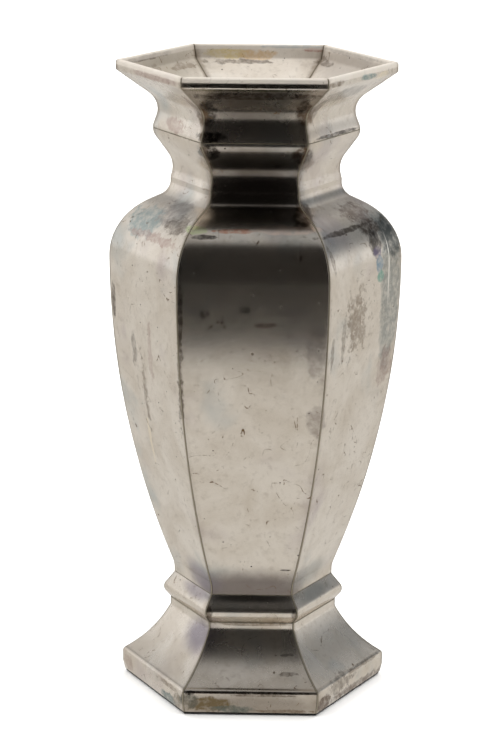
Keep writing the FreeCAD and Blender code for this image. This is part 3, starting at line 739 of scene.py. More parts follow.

# Patches by the material slot of the metal they are on.  Most are stains that the vase has
# got with age; the smooth films marked below are painted reflections and painted shade.
STAINS_AND_PAINTED_LIGHT = {
    "silver_plate_mouth": [
        # Painted reflection: a smooth dark film over the front of the flare, for the shaded
        # floor and vase that the flare mirrors.
        StainOrPaintedLight("front", 0, 235, 38, (30, 13), PAINTED_DARK_REFLECTION, 0.85, 0.12),
        StainOrPaintedLight("front", 0, 242.6, 43, (26, 2.4), UMBER, 0.85, 0.25, 4),
        StainOrPaintedLight("front", 0, 245.2, 46, (28, 0.6), "8B8765", 0.7, 0.3, 3),
        StainOrPaintedLight("front", 0, 247.0, 46.8, (29, 0.9), BLACKISH, 0.8, 0.25, 3),
        StainOrPaintedLight("front", -18, 235, 34, (4, 6), BLACKISH, 0.85),
        StainOrPaintedLight("front", 18.5, 236, 34, (4, 6), UMBER, 0.9),
        StainOrPaintedLight("front", -16, 226, 33, (6, 2.4), BLACKISH, 0.95),
        StainOrPaintedLight("front_left", 17, 236, 34, (4, 6), BROWN, 0.75),
        StainOrPaintedLight("front_left", -3, 227, 34, (10, 3), PINK, 0.6, 0.7),
        StainOrPaintedLight("front_left", 6, 247.2, 46.8, (22, 1.5), PINK, 0.6, 0.3, 3),
        StainOrPaintedLight("front_right", -16, 236, 34, (4, 6), BROWN, 0.8),
        StainOrPaintedLight("front_right", -4, 241, 42, (17, 3.4), "8C8378", 0.75, 0.3),
        StainOrPaintedLight("front_right", -21, 247.5, 46.8, (6, 1.2), BROWN, 0.7, 0.4, 3),
        StainOrPaintedLight("front_right", 3, 247.2, 46.8, (6.5, 1.4), TEAL, 0.85, 0.4, 3),
        StainOrPaintedLight("front_right", 15, 246, 46.8, (6, 2), CREAM, 0.9, 0.4, 3),
        StainOrPaintedLight("front_right", 2, 224.7, 34.6, (19, 0.8), BLACKISH, 0.8, 0.45),
        StainOrPaintedLight("back", 13, 246.5, 43.6, (10, 2.4), GOLD, 0.9, 0.45, 1.6),
        StainOrPaintedLight("back", 1, 246, 43.6, (8, 2.6), "CBAE86", 0.8, 0.6, 1.6),
        StainOrPaintedLight("back", 8, 243.5, 42, (15, 1.2), UMBER, 0.6, 0.9, 1.6),
        StainOrPaintedLight("back", -14, 249.2, 44.6, (16, 0.8), SKY, 0.8, 0.4, 1.6),
        StainOrPaintedLight("back", -22, 248, 44.4, (5, 0.8), "9C5548", 0.6, 0.5, 1.6),
        StainOrPaintedLight("back", -25, 243, 42, (3, 5), UMBER, 0.6, 0.8, 1.6),
        # Painted shade: a smooth grey film dims the inside of this back panel, seen through the
        # mouth.
        StainOrPaintedLight("back_left", 0, 244, 41, (40, 10), "978E7E", 0.6, 0.1),
        StainOrPaintedLight("back_left", 8, 248.6, 44.2, (18, 1.0), UMBER, 0.75, 0.6, 1.6),
        StainOrPaintedLight("back_left", 12, 245, 42, (13, 3.2), BROWN, 0.6, 0.7, 1.6),
        StainOrPaintedLight("back_left", -12, 243, 41, (9, 5), BROWN, 0.55, 0.9, 1.6),
        # Painted shade: a smooth grey film dims the inside of this back panel, seen through the
        # mouth.
        StainOrPaintedLight("back_right", 0, 244, 41, (40, 10), "9E948A", 0.6, 0.1),
        StainOrPaintedLight("back_right", 4, 248.8, 44.4, (26, 0.9), UMBER, 0.8, 0.6, 1.6),
        StainOrPaintedLight("back_right", 20, 245, 42, (5, 5), UMBER, 0.6, 0.8, 1.6),
    ],
    "silver_plate_body": [
        # Painted reflection: smooth dark films over the front of the neck and its cove, for the
        # unlit room that they mirror.
        StainOrPaintedLight("front", 0, 215, 32, (30, 12), PAINTED_DARK_REFLECTION, 0.88, 0.1),
        StainOrPaintedLight("front", 0, 203, 30, (28, 12), BLACKISH, 0.85, 0.1),
        StainOrPaintedLight("front", -17, 220, 34, (5, 3.5), BLACKISH, 0.95),
        StainOrPaintedLight("front", 18, 219, 34, (4.5, 4.5), UMBER, 0.95),
        StainOrPaintedLight("front", 18, 196, 32, (4, 4.5), UMBER, 0.9),
        StainOrPaintedLight("front", 8.5, 214.5, 30, (1.5, 0.8), BLACKISH, 0.9, 0.3),
        StainOrPaintedLight("front", -21.5, 192.2, 41, (4.6, 1.5), "D3DCAF", 0.95, 0.25),
        StainOrPaintedLight("front", -18.5, 190, 43, (5, 0.9), BLACKISH, 0.9, 0.4),
        StainOrPaintedLight("front", -7, 192, 42, (8, 0.9), "C98F74", 0.75, 0.5),
        StainOrPaintedLight("front", 12, 192.5, 42, (14, 1.6), "EBD3C4", 0.6, 0.3),
        StainOrPaintedLight("front", -2.6, 164, 49, (2.6, 1.6), BLACKISH, 0.6, 0.6),
        StainOrPaintedLight("front", 4.2, 158, 49, (6, 1.2), "6B4A3B", 0.55, 0.9),
        StainOrPaintedLight("front", -18, 162, 49, (3, 1.4), UMBER, 0.5, 0.9),
        StainOrPaintedLight("front", -27.2, 155, 49, (1.2, 24), UMBER, 0.75, 0.8),
        StainOrPaintedLight("front", -26.8, 127, 47, (1.2, 12), UMBER, 0.7, 0.9),
        StainOrPaintedLight("front", 24, 120, 45, (4, 7), "8B807A", 0.5, 0.4),
        StainOrPaintedLight("front", 24, 148, 48, (4.5, 13), "8B807A", 0.45, 0.4),
        # Painted reflection: smooth darker films low on the belly, darkest towards the waist,
        # for the dark room and its violet and grey corners that the waist cove mirrors.
        StainOrPaintedLight("front", 0, 45.5, 28, (40, 12), "6F6662", 0.88, 0.08),
        StainOrPaintedLight("front_left", 8, 49, 28, (13, 9), "7A7280", 0.7, 0.1),
        StainOrPaintedLight("front_right", -4, 50, 28, (16, 7), "868A88", 0.5, 0.1),
        StainOrPaintedLight("front", 13, 55, 30, (2.2, 0.45), BLACKISH, 0.9, 0.35),
        StainOrPaintedLight("front_left", -9, 190, 44, (13, 6.5), "84999A", 0.7, 0.45),
        StainOrPaintedLight("front_left", 4, 195, 38, (9, 5), "8D8580", 0.6, 0.5),
        StainOrPaintedLight("front_left", 14, 192, 40, (8, 3.4), UMBER, 0.7, 0.6),
        StainOrPaintedLight("front_left", 2, 186, 46, (20, 2.0), PINK, 0.65, 0.75),
        StainOrPaintedLight("front_left", -25.7, 156, 48.8, (1.8, 9), UMBER, 0.8, 0.5),
        StainOrPaintedLight("front_left", -10, 139, 48, (2.4, 8), UMBER, 0.5, 0.9),
        StainOrPaintedLight("front_left", -4, 124, 46, (1.8, 16), BROWN, 0.6, 1.0),
        StainOrPaintedLight("front_left", 4, 140, 48, (2.0, 14), PINK, 0.5, 0.9),
        StainOrPaintedLight("front_left", -6, 103, 42, (1.2, 9), CREAM, 0.8, 0.8),
        # Painted reflection: a grey band and a dark blue-grey patch along the right edge of this
        # panel, for darker parts of the room that it mirrors.
        StainOrPaintedLight("front_right", 20, 165, 49, (8.5, 40), "7F8582", 0.72, 0.22),
        StainOrPaintedLight("front_right", 22, 183, 47, (8, 9), "4C504E", 0.85, 0.3),
        StainOrPaintedLight("front_right", 18, 172, 49, (0.5, 17), "F2EEE6", 0.95, 0.12),
        StainOrPaintedLight("front_right", 10, 188.5, 44, (8, 3.4), UMBER, 0.92, 0.45),
        StainOrPaintedLight("front_right", 9, 183, 47, (5, 5), BLACKISH, 0.85, 0.5),
        StainOrPaintedLight("front_right", 8, 194, 39.5, (10, 3.4), "7E6C61", 0.75, 0.75),
        StainOrPaintedLight("front_right", -7, 189.8, 42, (18, 1.0), UMBER, 0.85, 0.45),
        StainOrPaintedLight("front_right", 9.5, 179, 49, (3.4, 3), VIOLET, 0.8, 0.4),
        StainOrPaintedLight("front_right", 10.5, 174.5, 49, (3, 3.6), SKY, 0.85, 0.3),
        StainOrPaintedLight("front_right", 11.5, 169.5, 49, (3, 2.6), "74A294", 0.85, 0.3),
        StainOrPaintedLight("front_right", 20, 131, 48, (6, 9), "94786E", 0.55, 0.6),
        StainOrPaintedLight("front_right", -24, 182, 48, (1.4, 7), "857B70", 0.7, 0.6),
        StainOrPaintedLight("front_right", -16, 150, 48, (1.6, 10), "857B70", 0.7, 0.7),
        StainOrPaintedLight("front_right", -24, 146, 48, (1.4, 8), "857B70", 0.7, 0.6),
        StainOrPaintedLight("front_right", -6, 155, 48, (9, 13), BROWN, 0.6, 1.1),
    ],
    "silver_plate_collar": [
        # Painted reflection: smooth darker films on the top of the collar, for the dark room and
        # its violet and grey corners that the upward slope mirrors.
        StainOrPaintedLight("front", 0, 42.4, 28.5, (24, 2.0), BLACKISH, 0.8, 0.1),
        StainOrPaintedLight("front_left", 6, 42, 30, (14, 3.5), "7A7280", 0.6, 0.1),
        StainOrPaintedLight("front_right", -2, 41, 30, (16, 3.5), "848885", 0.5, 0.1),
        StainOrPaintedLight("front", -16.5, 37, 31, (1.5, 3), UMBER, 0.7, 0.6),
        StainOrPaintedLight("front", 17, 37, 31, (1.5, 3), UMBER, 0.7, 0.6),
    ],
    "silver_plate_foot": [
        # Painted shade: a smooth film over the front fascia, for the shaded floor by the foot
        # that it mirrors.
        StainOrPaintedLight("front", 0, 4, 45.5, (44, 8), "857A6E", 0.75, 0.1, 8),
        # Painted reflection: a violet-grey film high in the foot cove, for a darker part of the
        # room that it mirrors.
        StainOrPaintedLight("front_left", 12, 26, 31, (13, 9), "77707F", 0.75, 0.1),
        StainOrPaintedLight("front", -16, 4.6, 45.6, (11, 3.2), "72634A", 0.98, 0.5, 5),
        StainOrPaintedLight("front", -7, 2.8, 45, (9, 1.8), "646860", 0.95, 0.5, 5),
        StainOrPaintedLight("front", -24, 6, 45.5, (5, 3.6), "66645A", 0.95, 0.5, 5),
        StainOrPaintedLight("front", 12, 2.0, 45, (14, 0.8), BROWN, 0.7, 0.6, 5),
        StainOrPaintedLight("front", 0, 9.6, 45.6, (28, 0.6), UMBER, 0.9, 0.3, 4),
        StainOrPaintedLight("front", -23.5, 9.3, 45.2, (2.2, 1.0), BLACKISH, 0.95, 0.35, 4),
        StainOrPaintedLight("front", 5, 8.6, 45.7, (16, 0.5), UMBER, 0.7, 0.8, 4),
        StainOrPaintedLight("front", 14, 15, 41, (4, 0.8), UMBER, 0.7, 0.9),
        StainOrPaintedLight("front", 14, 21, 36, (3, 0.5), UMBER, 0.7, 0.9),
        StainOrPaintedLight("front", 0, 31.8, 28.8, (17, 0.8), BROWN, 0.7, 0.3),
        StainOrPaintedLight("front_left", 14, 2.6, 45.3, (7, 2.8), "6F7B78", 0.95, 0.5, 5),
        StainOrPaintedLight("front_left", 21, 4.5, 45.3, (3.6, 3.8), "857C6C", 0.8, 0.5, 5),
        StainOrPaintedLight("front_left", 14, 8.5, 45.3, (9, 1.0), BROWN, 0.6, 0.8, 5),
        StainOrPaintedLight("front_left", -21, 5, 45.3, (4, 3.6), "A0897C", 0.6, 0.5, 5),
        StainOrPaintedLight("front_right", -21, 4.0, 45.3, (5.5, 3.6), "6B5A4C", 0.95, 0.5, 5),
        StainOrPaintedLight("front_right", -8, 7.5, 44, (10, 4), UMBER, 0.55, 1.1),
        StainOrPaintedLight("front_right", 10, 9.8, 45, (16, 0.9), BROWN, 0.6, 0.8, 5),
        StainOrPaintedLight("front_right", 6, 2.6, 45, (22, 1.8), "6B5A4C", 0.85, 0.8, 5),
    ],
}


def add_stain_or_painted_light(tree, place, wander, filled, colour_so_far, stain_or_light_patch):
    """Lay one patch over the colour so far; returns the new colour."""
    shifted = add_node(tree, "ShaderNodeVectorMath", {0: place, 1: stain_or_light_patch.centre},
                       operation="SUBTRACT")
    facing = add_node(tree, "ShaderNodeVectorRotate",
                      {"Vector": shifted.outputs[0], "Angle": -stain_or_light_patch.turn},
                      rotation_type="Z_AXIS")
    scaled = add_node(tree, "ShaderNodeVectorMath", {0: facing.outputs[0], 1: stain_or_light_patch.reach},
                      operation="DIVIDE")
    spread = 3.4 * stain_or_light_patch.speckle
    torn = add_node(tree, "ShaderNodeVectorMath",
                    {0: wander, 1: (spread, spread, spread), 2: scaled.outputs[0]},
                    operation="MULTIPLY_ADD")
    far = add_node(tree, "ShaderNodeVectorMath", {0: torn.outputs[0]}, operation="LENGTH")
    mask = add_node(tree, "ShaderNodeMapRange",
                    {"Value": far.outputs["Value"], "From Min": stain_or_light_patch.solid,
                     "From Max": 1.06,
                     "To Min": stain_or_light_patch.strength, "To Max": 0.0},
                    interpolation_type="SMOOTHSTEP")
    amount = mask.outputs[0]
    if stain_or_light_patch.speckle > SMOOTH_FILM_OR_PAINTED_LIGHT:
        patchy = add_node(tree, "ShaderNodeMath", {0: amount, 1: filled},
                          operation="MULTIPLY")
        amount = patchy.outputs[0]
    mixed = add_node(tree, "ShaderNodeMix",
                     {MIX_AMOUNT: amount, MIX_UNDER: colour_so_far,
                      MIX_OVER: linear(stain_or_light_patch.tint)}, data_type="RGBA")
    return mixed.outputs[MIX_RESULT]


def plate_film(tree, place, colours, tarnish_level):
    """Warm film on the plate: how thick it is, its mottling, and the colour it gives."""
    # Patches about as wide as a finger, broken up by a mottling of 2.6 mm.
    clouds = add_node(tree, "ShaderNodeTexNoise",
                      {"Vector": place, "Scale": 1 / 19, "Detail": 6.0, "Roughness": 0.62,
                       "Distortion": 0.6})
    cloudy = add_node(tree, "ShaderNodeMapRange",
                      {"Value": clouds.outputs[0], "From Min": 0.40, "From Max": 0.72})
    mottle = add_node(tree, "ShaderNodeTexNoise",
                      {"Vector": place, "Scale": 1 / 2.6, "Detail": 5.0, "Roughness": 0.7})
    mottled = add_node(tree, "ShaderNodeMapRange",
                       {"Value": mottle.outputs[0], "From Min": 0.52, "From Max": 0.78})
    film = add_node(tree, "ShaderNodeMath",
                    {0: cloudy.outputs[0], 1: 0.75, 2: 0.05}, operation="MULTIPLY_ADD")
    plate = add_node(tree, "ShaderNodeMix",
                     {MIX_AMOUNT: film.outputs[0], MIX_UNDER: colours.plate[:],
                      MIX_OVER: colours.worn[:]}, data_type="RGBA")
    share = add_node(tree, "ShaderNodeMath",
                     {0: mottled.outputs[0], 1: 0.28 * tarnish_level}, operation="MULTIPLY")
    filmed = add_node(tree, "ShaderNodeMix",
                      {MIX_AMOUNT: share.outputs[0], MIX_UNDER: plate.outputs[MIX_RESULT],
                       MIX_OVER: colours.tarnish[:]}, data_type="RGBA")
    return film.outputs[0], mottle.outputs[0], filmed.outputs[MIX_RESULT]


def add_blooms(tree, place, colours, colour_so_far):
    """Thin blue and violet films, each in loose islands some 30 mm across."""
    for tint, offset, most in ((colours.bloom, 11.0, 0.45), (colours.flush, 47.0, 0.35)):
        moved = add_node(tree, "ShaderNodeVectorMath", {0: place, 1: (offset, -offset, offset)},
                         operation="ADD")
        islands = add_node(tree, "ShaderNodeTexNoise",
                           {"Vector": moved.outputs[0], "Scale": 1 / 31, "Detail": 3.0,
                            "Roughness": 0.5})
        amount = add_node(tree, "ShaderNodeMapRange",
                          {"Value": islands.outputs[0], "From Min": 0.55, "From Max": 0.75,
                           "To Max": most}, interpolation_type="SMOOTHSTEP")
        mixed = add_node(tree, "ShaderNodeMix",
                         {MIX_AMOUNT: amount.outputs[0], MIX_UNDER: colour_so_far,
                          MIX_OVER: tint[:]}, data_type="RGBA")
        colour_so_far = mixed.outputs[MIX_RESULT]
    return colour_so_far


def add_stains_and_painted_light(tree, place, mottle, stain_and_light_patches, colour_so_far):
    """Patches, torn at their edges by a noise of 4 mm that is fine down to 0.1 mm."""
    flecks = add_node(tree, "ShaderNodeTexNoise",
                      {"Vector": place, "Scale": 1 / 4.2, "Detail": 6.0, "Roughness": 0.68})
    wander = add_node(tree, "ShaderNodeVectorMath",
                      {0: flecks.outputs["Color"], 1: (0.5, 0.5, 0.5)}, operation="SUBTRACT")
    filled = add_node(tree, "ShaderNodeMapRange",
                      {"Value": mottle, "From Min": 0.34, "From Max": 0.56,
                       "To Min": 0.35, "To Max": 1.0})
    for stain_or_light_patch in stain_and_light_patches:
        colour_so_far = add_stain_or_painted_light(tree, place, wander.outputs[0], filled.outputs[0],
                                  colour_so_far, stain_or_light_patch)
    return colour_so_far


def add_seam_tarnish(tree, place, height, colours, tarnish_level, colour_so_far):
    """Brown within 2 or 3 mm of a seam, and a black line right beside it.

    Returns how brown it is, for the roughness, and the new colour.
    """
    seam = add_node(tree, "ShaderNodeAttribute", attribute_name="seam_distance")
    ragged = add_node(tree, "ShaderNodeTexNoise",
                      {"Vector": place, "Scale": 1 / 3.5, "Detail": 4.0, "Roughness": 0.6})
    brownness = add_node(tree, "ShaderNodeMapRange",
                         {"Value": height, "From Min": BELLY_TOP, "From Max": NECK_ROOT,
                          "To Min": 0.10 * tarnish_level, "To Max": 0.36 * tarnish_level})
    reach = add_node(tree, "ShaderNodeMath", {0: ragged.outputs[0], 1: -4.2,
                                              2: seam.outputs["Fac"]},
                     operation="MULTIPLY_ADD")
    beside = add_node(tree, "ShaderNodeMapRange",
                      {"Value": reach.outputs[0], "From Min": -1.9, "From Max": 0.3,
                       "To Min": brownness.outputs[0], "To Max": 0.0},
                      interpolation_type="SMOOTHSTEP")
    browned = add_node(tree, "ShaderNodeMix",
                       {MIX_AMOUNT: beside.outputs[0], MIX_UNDER: colour_so_far,
                        MIX_OVER: colours.tarnish[:]}, data_type="RGBA")
    blackness = add_node(tree, "ShaderNodeMapRange",
                         {"Value": height, "From Min": BELLY_LOW, "From Max": BELLY_TOP,
                          "To Min": 0.8, "To Max": 0.0})
    line = add_node(tree, "ShaderNodeMapRange",
                    {"Value": seam.outputs["Fac"], "From Min": 0.10, "From Max": 0.42,
                     "To Min": blackness.outputs[0], "To Max": 0.0})
    lined = add_node(tree, "ShaderNodeMix",
                     {MIX_AMOUNT: line.outputs[0], MIX_UNDER: browned.outputs[MIX_RESULT],
                      MIX_OVER: colours.black[:]}, data_type="RGBA")
    return beside.outputs[0], lined.outputs[MIX_RESULT]


def add_pits(tree, place, mottle, colours, colour_so_far):
    """Pits where the plate has gone: black ones up to 0.9 mm across, brown up to 1.5 mm.

    There is at most one in each cell of 3.6 mm or 9.5 mm.  Returns where they are and the
    new colour.
    """
    pit_share = 0.0
    for patch, widest, strength, tint in ((3.6, 0.13, 0.85, colours.black),
                                          (9.5, 0.08, 0.7, colours.tarnish)):
        cells = add_node(tree, "ShaderNodeTexVoronoi", {"Vector": place, "Scale": 1 / patch})
        lot = add_node(tree, "ShaderNodeSeparateColor", {0: cells.outputs["Color"]})
        wide = add_node(tree, "ShaderNodeMapRange",
                        {"Value": lot.outputs[0], "From Min": 0.3, "From Max": 1.0,
                         "To Min": 0.0, "To Max": widest})
        ragged_wide = add_node(tree, "ShaderNodeMath",
                               {0: mottle, 1: -widest / 2, 2: wide.outputs[0]},
                               operation="MULTIPLY_ADD")
        within = add_node(tree, "ShaderNodeMath",
                          {0: cells.outputs["Distance"], 1: ragged_wide.outputs[0]},
                          operation="SUBTRACT")
        pit = add_node(tree, "ShaderNodeMapRange",
                       {"Value": within.outputs[0], "From Min": -widest / 4,
                        "From Max": widest / 8, "To Min": strength, "To Max": 0.0})
        pitted = add_node(tree, "ShaderNodeMix",
                          {MIX_AMOUNT: pit.outputs[0], MIX_UNDER: colour_so_far,
                           MIX_OVER: tint[:]}, data_type="RGBA")
        colour_so_far = pitted.outputs[MIX_RESULT]
        pits = add_node(tree, "ShaderNodeMath", {0: pit.outputs[0], 1: pit_share},
                        operation="MAXIMUM")
        pit_share = pits.outputs[0]
    return pit_share, colour_so_far


def add_scratches(tree, place, mottle, colours, colour_so_far):
    """Hairline scratches: thin contours of a broad noise, kept only here and there."""
    swirl = add_node(tree, "ShaderNodeTexNoise",
                     {"Vector": place, "Scale": 1 / 26, "Detail": 1.5, "Distortion": 1.4})
    centred = add_node(tree, "ShaderNodeMath", {0: swirl.outputs[0], 1: 0.5},
                       operation="SUBTRACT")
    off_line = add_node(tree, "ShaderNodeMath", {0: centred.outputs[0]}, operation="ABSOLUTE")
    hair = add_node(tree, "ShaderNodeMapRange",
                    {"Value": off_line.outputs[0], "From Min": 0.0012, "From Max": 0.0035,
                     "To Min": 1.0, "To Max": 0.0})
    kept = add_node(tree, "ShaderNodeMapRange",
                    {"Value": mottle, "From Min": 0.50, "From Max": 0.58})
    scratch = add_node(tree, "ShaderNodeMath", {0: hair.outputs[0], 1: kept.outputs[0]},
                       operation="MULTIPLY")
    scratched = add_node(tree, "ShaderNodeMix",
                         {MIX_AMOUNT: scratch.outputs[0], MIX_UNDER: colour_so_far,
                          MIX_OVER: colours.tarnish[:]}, data_type="RGBA")
    return scratched.outputs[MIX_RESULT]


def add_unpolished(tree, height, colours, colour_so_far):
    """Inside, and on the lip, no cloth has rubbed the film off: it is pale and scatters.

    Returns how matt it is and the new colour.
    """
    inside = add_node(tree, "ShaderNodeAttribute", attribute_name="inside")
    on_lip = add_node(tree, "ShaderNodeMapRange",
                      {"Value": height, "From Min": LIP_WEAR[0], "From Max": LIP_WEAR[1]},
                      interpolation_type="SMOOTHSTEP")
    matt = add_node(tree, "ShaderNodeMath",
                    {0: inside.outputs["Fac"], 1: on_lip.outputs[0]}, operation="MAXIMUM")
    pale = add_node(tree, "ShaderNodeMath", {0: on_lip.outputs[0], 1: 0.6},
                    operation="MULTIPLY")
    lightened = add_node(tree, "ShaderNodeMix",
                         {MIX_AMOUNT: pale.outputs[0], MIX_UNDER: colour_so_far,
                          MIX_OVER: colours.plate[:]}, data_type="RGBA")
    return matt.outputs[0], lightened.outputs[MIX_RESULT]


def silver_plate(slot, tarnish_level, base_roughness):
    """Electroplated silver on white metal, hand polished and long since tarnished.

    It mirrors its surroundings, dimmed and warmed by a brown film.  The film gathers in
    hollows and beside the seams, where no cloth reaches, and pits show through it black.
    The smooth darker films on the front, at the waist, the collar and the foot, and inside
    the mouth are painted reflections and painted shade.
    """
    colours = bpy.context.scene.vase_colours
    material, tree, shader, place = new_material(slot)
    parts = add_node(tree, "ShaderNodeSeparateXYZ", {0: place})
    height = parts.outputs["Z"]
    film, mottle, tint = plate_film(tree, place, colours, tarnish_level)
    tint = add_blooms(tree, place, colours, tint)
    # Stains, and the painted reflections and painted shade among the patches, laid into the
    # colour.
    tint = add_stains_and_painted_light(tree, place, mottle, STAINS_AND_PAINTED_LIGHT[slot], tint)
    beside, tint = add_seam_tarnish(tree, place, height, colours, tarnish_level, tint)
    pits, tint = add_pits(tree, place, mottle, colours, tint)
    tint = add_scratches(tree, place, mottle, colours, tint)
    matt, tint = add_unpolished(tree, height, colours, tint)
    tree.links.new(tint, shader.inputs["Base Color"])
    mirrored = add_node(tree, "ShaderNodeMapRange",
                        {"Value": matt, "To Min": 1.0, "To Max": 0.45})
    tree.links.new(mirrored.outputs[0], shader.inputs["Metallic"])

    # The film blurs the mirror, most of all beside a seam and where it was never polished.
    rough = base_roughness
    for cause, blur in ((film, 0.08), (beside, 0.2), (matt, 0.32), (pits, 0.3)):
        blurred = add_node(tree, "ShaderNodeMath", {0: cause, 1: blur, 2: rough},
                           operation="MULTIPLY_ADD")
        rough = blurred.outputs[0]
    tree.links.new(rough, shader.inputs["Roughness"])

    # Orange peel about 1.6 mm wide from the buffing, with the pits sunk into it.
    peel = add_node(tree, "ShaderNodeTexNoise",
                    {"Vector": place, "Scale": 1 / 1.6, "Detail": 3.0, "Roughness": 0.55})
    relief = add_node(tree, "ShaderNodeMath", {0: pits, 1: -2.0, 2: peel.outputs[0]},
                      operation="MULTIPLY_ADD")
    bump = add_node(tree, "ShaderNodeBump",
                    {"Height": relief.outputs[0], "Strength": 0.35, "Distance": 0.012 * MM})
    tree.links.new(bump.outputs[0], shader.inputs["Normal"])
    return material


def soft_solder():
    """Tin solder gone brown low down and polished off with the plate higher up.

    Scraped spots show yellowish metal, and black grime lies in its lumps.
    """
    colours = bpy.context.scene.vase_colours
    material, tree, shader, place = new_material("soft_solder")
    patches = add_node(tree, "ShaderNodeTexNoise",
                       {"Vector": place, "Scale": 1 / 5.5, "Detail": 4.0, "Roughness": 0.6})
    parts = add_node(tree, "ShaderNodeSeparateXYZ", {0: place})
    rubbed = add_node(tree, "ShaderNodeMapRange",
                      {"Value": parts.outputs["Z"], "From Min": BELLY_LOW,
                       "From Max": BELLY_TOP, "To Min": 0.1, "To Max": 0.92})
    polished = add_node(tree, "ShaderNodeMix",
                        {MIX_AMOUNT: rubbed.outputs[0], MIX_UNDER: colours.solder[:],
                         MIX_OVER: colours.plate[:]}, data_type="RGBA")
    bright = add_node(tree, "ShaderNodeMapRange",
                      {"Value": patches.outputs[0], "From Min": 0.56, "From Max": 0.68,
                       "To Max": 0.6})
    tinted = add_node(tree, "ShaderNodeMix",
                      {MIX_AMOUNT: bright.outputs[0],
                       MIX_UNDER: polished.outputs[MIX_RESULT],
                       MIX_OVER: colours.solder_bright[:]}, data_type="RGBA")
    grime = add_node(tree, "ShaderNodeTexNoise",
                     {"Vector": place, "Scale": 1 / 1.4, "Detail": 4.0})
    grime_share = add_node(tree, "ShaderNodeMath", {0: 0.95, 1: rubbed.outputs[0]},
                           operation="SUBTRACT")
    dark = add_node(tree, "ShaderNodeMapRange",
                    {"Value": grime.outputs[0], "From Min": 0.42, "From Max": 0.62,
                     "To Max": grime_share.outputs[0]})
    grimy = add_node(tree, "ShaderNodeMix",
                     {MIX_AMOUNT: dark.outputs[0], MIX_UNDER: tinted.outputs[MIX_RESULT],
                      MIX_OVER: colours.black[:]}, data_type="RGBA")
    tree.links.new(grimy.outputs[MIX_RESULT], shader.inputs["Base Color"])
    rough = add_node(tree, "ShaderNodeMapRange",
                     {"Value": grime.outputs[0], "To Min": 0.45, "To Max": 0.75})
    tree.links.new(rough.outputs[0], shader.inputs["Roughness"])
    bump = add_node(tree, "ShaderNodeBump",
                    {"Height": grime.outputs[0], "Strength": 0.6, "Distance": 0.08 * MM})
    tree.links.new(bump.outputs[0], shader.inputs["Normal"])
    shader.inputs["Metallic"].default_value = 1.0
    return material


def dull_metal(name, tint):
    """Rolled white metal, unpolished: a soft grey sheen, clouded where water stood."""
    colours = bpy.context.scene.vase_colours
    material, tree, shader, place = new_material(name)
    clouds = add_node(tree, "ShaderNodeTexNoise",
                      {"Vector": place, "Scale": 1 / 8, "Detail": 6.0, "Roughness": 0.65})
    stained = add_node(tree, "ShaderNodeMapRange",
                       {"Value": clouds.outputs[0], "From Min": 0.42, "From Max": 0.66,
                        "To Max": 0.8})
    mixed = add_node(tree, "ShaderNodeMix",
                     {MIX_AMOUNT: stained.outputs[0], MIX_UNDER: tint[:],
                      MIX_OVER: colours.tarnish[:]}, data_type="RGBA")
    tree.links.new(mixed.outputs[MIX_RESULT], shader.inputs["Base Color"])
    rough = add_node(tree, "ShaderNodeMapRange",
                     {"Value": clouds.outputs[0], "To Min": 0.35, "To Max": 0.65})
    tree.links.new(rough.outputs[0], shader.inputs["Roughness"])
    shader.inputs["Metallic"].default_value = 1.0
    return material


def cast_plaster():
    """Plaster poured into the foot and set: chalky, off white, with small air holes."""
    colours = bpy.context.scene.vase_colours
    material, tree, shader, place = new_material("plaster_filling")
    grain = add_node(tree, "ShaderNodeTexNoise", {"Vector": place, "Scale": 1 / 1.2,
                                                  "Detail": 5.0})
    dusty = add_node(tree, "ShaderNodeMix",
                     {MIX_AMOUNT: grain.outputs[0], MIX_UNDER: colours.plaster[:],
                      MIX_OVER: colours.worn[:]}, data_type="RGBA")
    tree.links.new(dusty.outputs[MIX_RESULT], shader.inputs["Base Color"])
    bump = add_node(tree, "ShaderNodeBump",
                    {"Height": grain.outputs[0], "Strength": 0.5, "Distance": 0.1 * MM})
    tree.links.new(bump.outputs[0], shader.inputs["Normal"])
    shader.inputs["Roughness"].default_value = 0.95
    return material


def black_baize():
    """Woven wool, felted and dyed black: fibres about 0.3 mm long, matt, with grey lint."""
    colours = bpy.context.scene.vase_colours
    material, tree, shader, place = new_material("baize")
    fibres = add_node(tree, "ShaderNodeTexNoise",
                      {"Vector": place, "Scale": 1 / 0.3, "Detail": 3.0, "Distortion": 1.0})
    lint = add_node(tree, "ShaderNodeMapRange",
                    {"Value": fibres.outputs[0], "From Min": 0.60, "From Max": 0.80,
                     "To Max": 0.25})
    linted = add_node(tree, "ShaderNodeMix",
                      {MIX_AMOUNT: lint.outputs[0], MIX_UNDER: colours.baize[:],
                       MIX_OVER: colours.worn[:]}, data_type="RGBA")
    tree.links.new(linted.outputs[MIX_RESULT], shader.inputs["Base Color"])
    bump = add_node(tree, "ShaderNodeBump",
                    {"Height": fibres.outputs[0], "Strength": 0.8, "Distance": 0.15 * MM})
    tree.links.new(bump.outputs[0], shader.inputs["Normal"])
    shader.inputs["Roughness"].default_value = 0.95
    shader.inputs["Sheen Weight"].default_value = 0.25
    shader.inputs["Sheen Roughness"].default_value = 0.5
    return material


# ---------------------------------------------------------------- operators

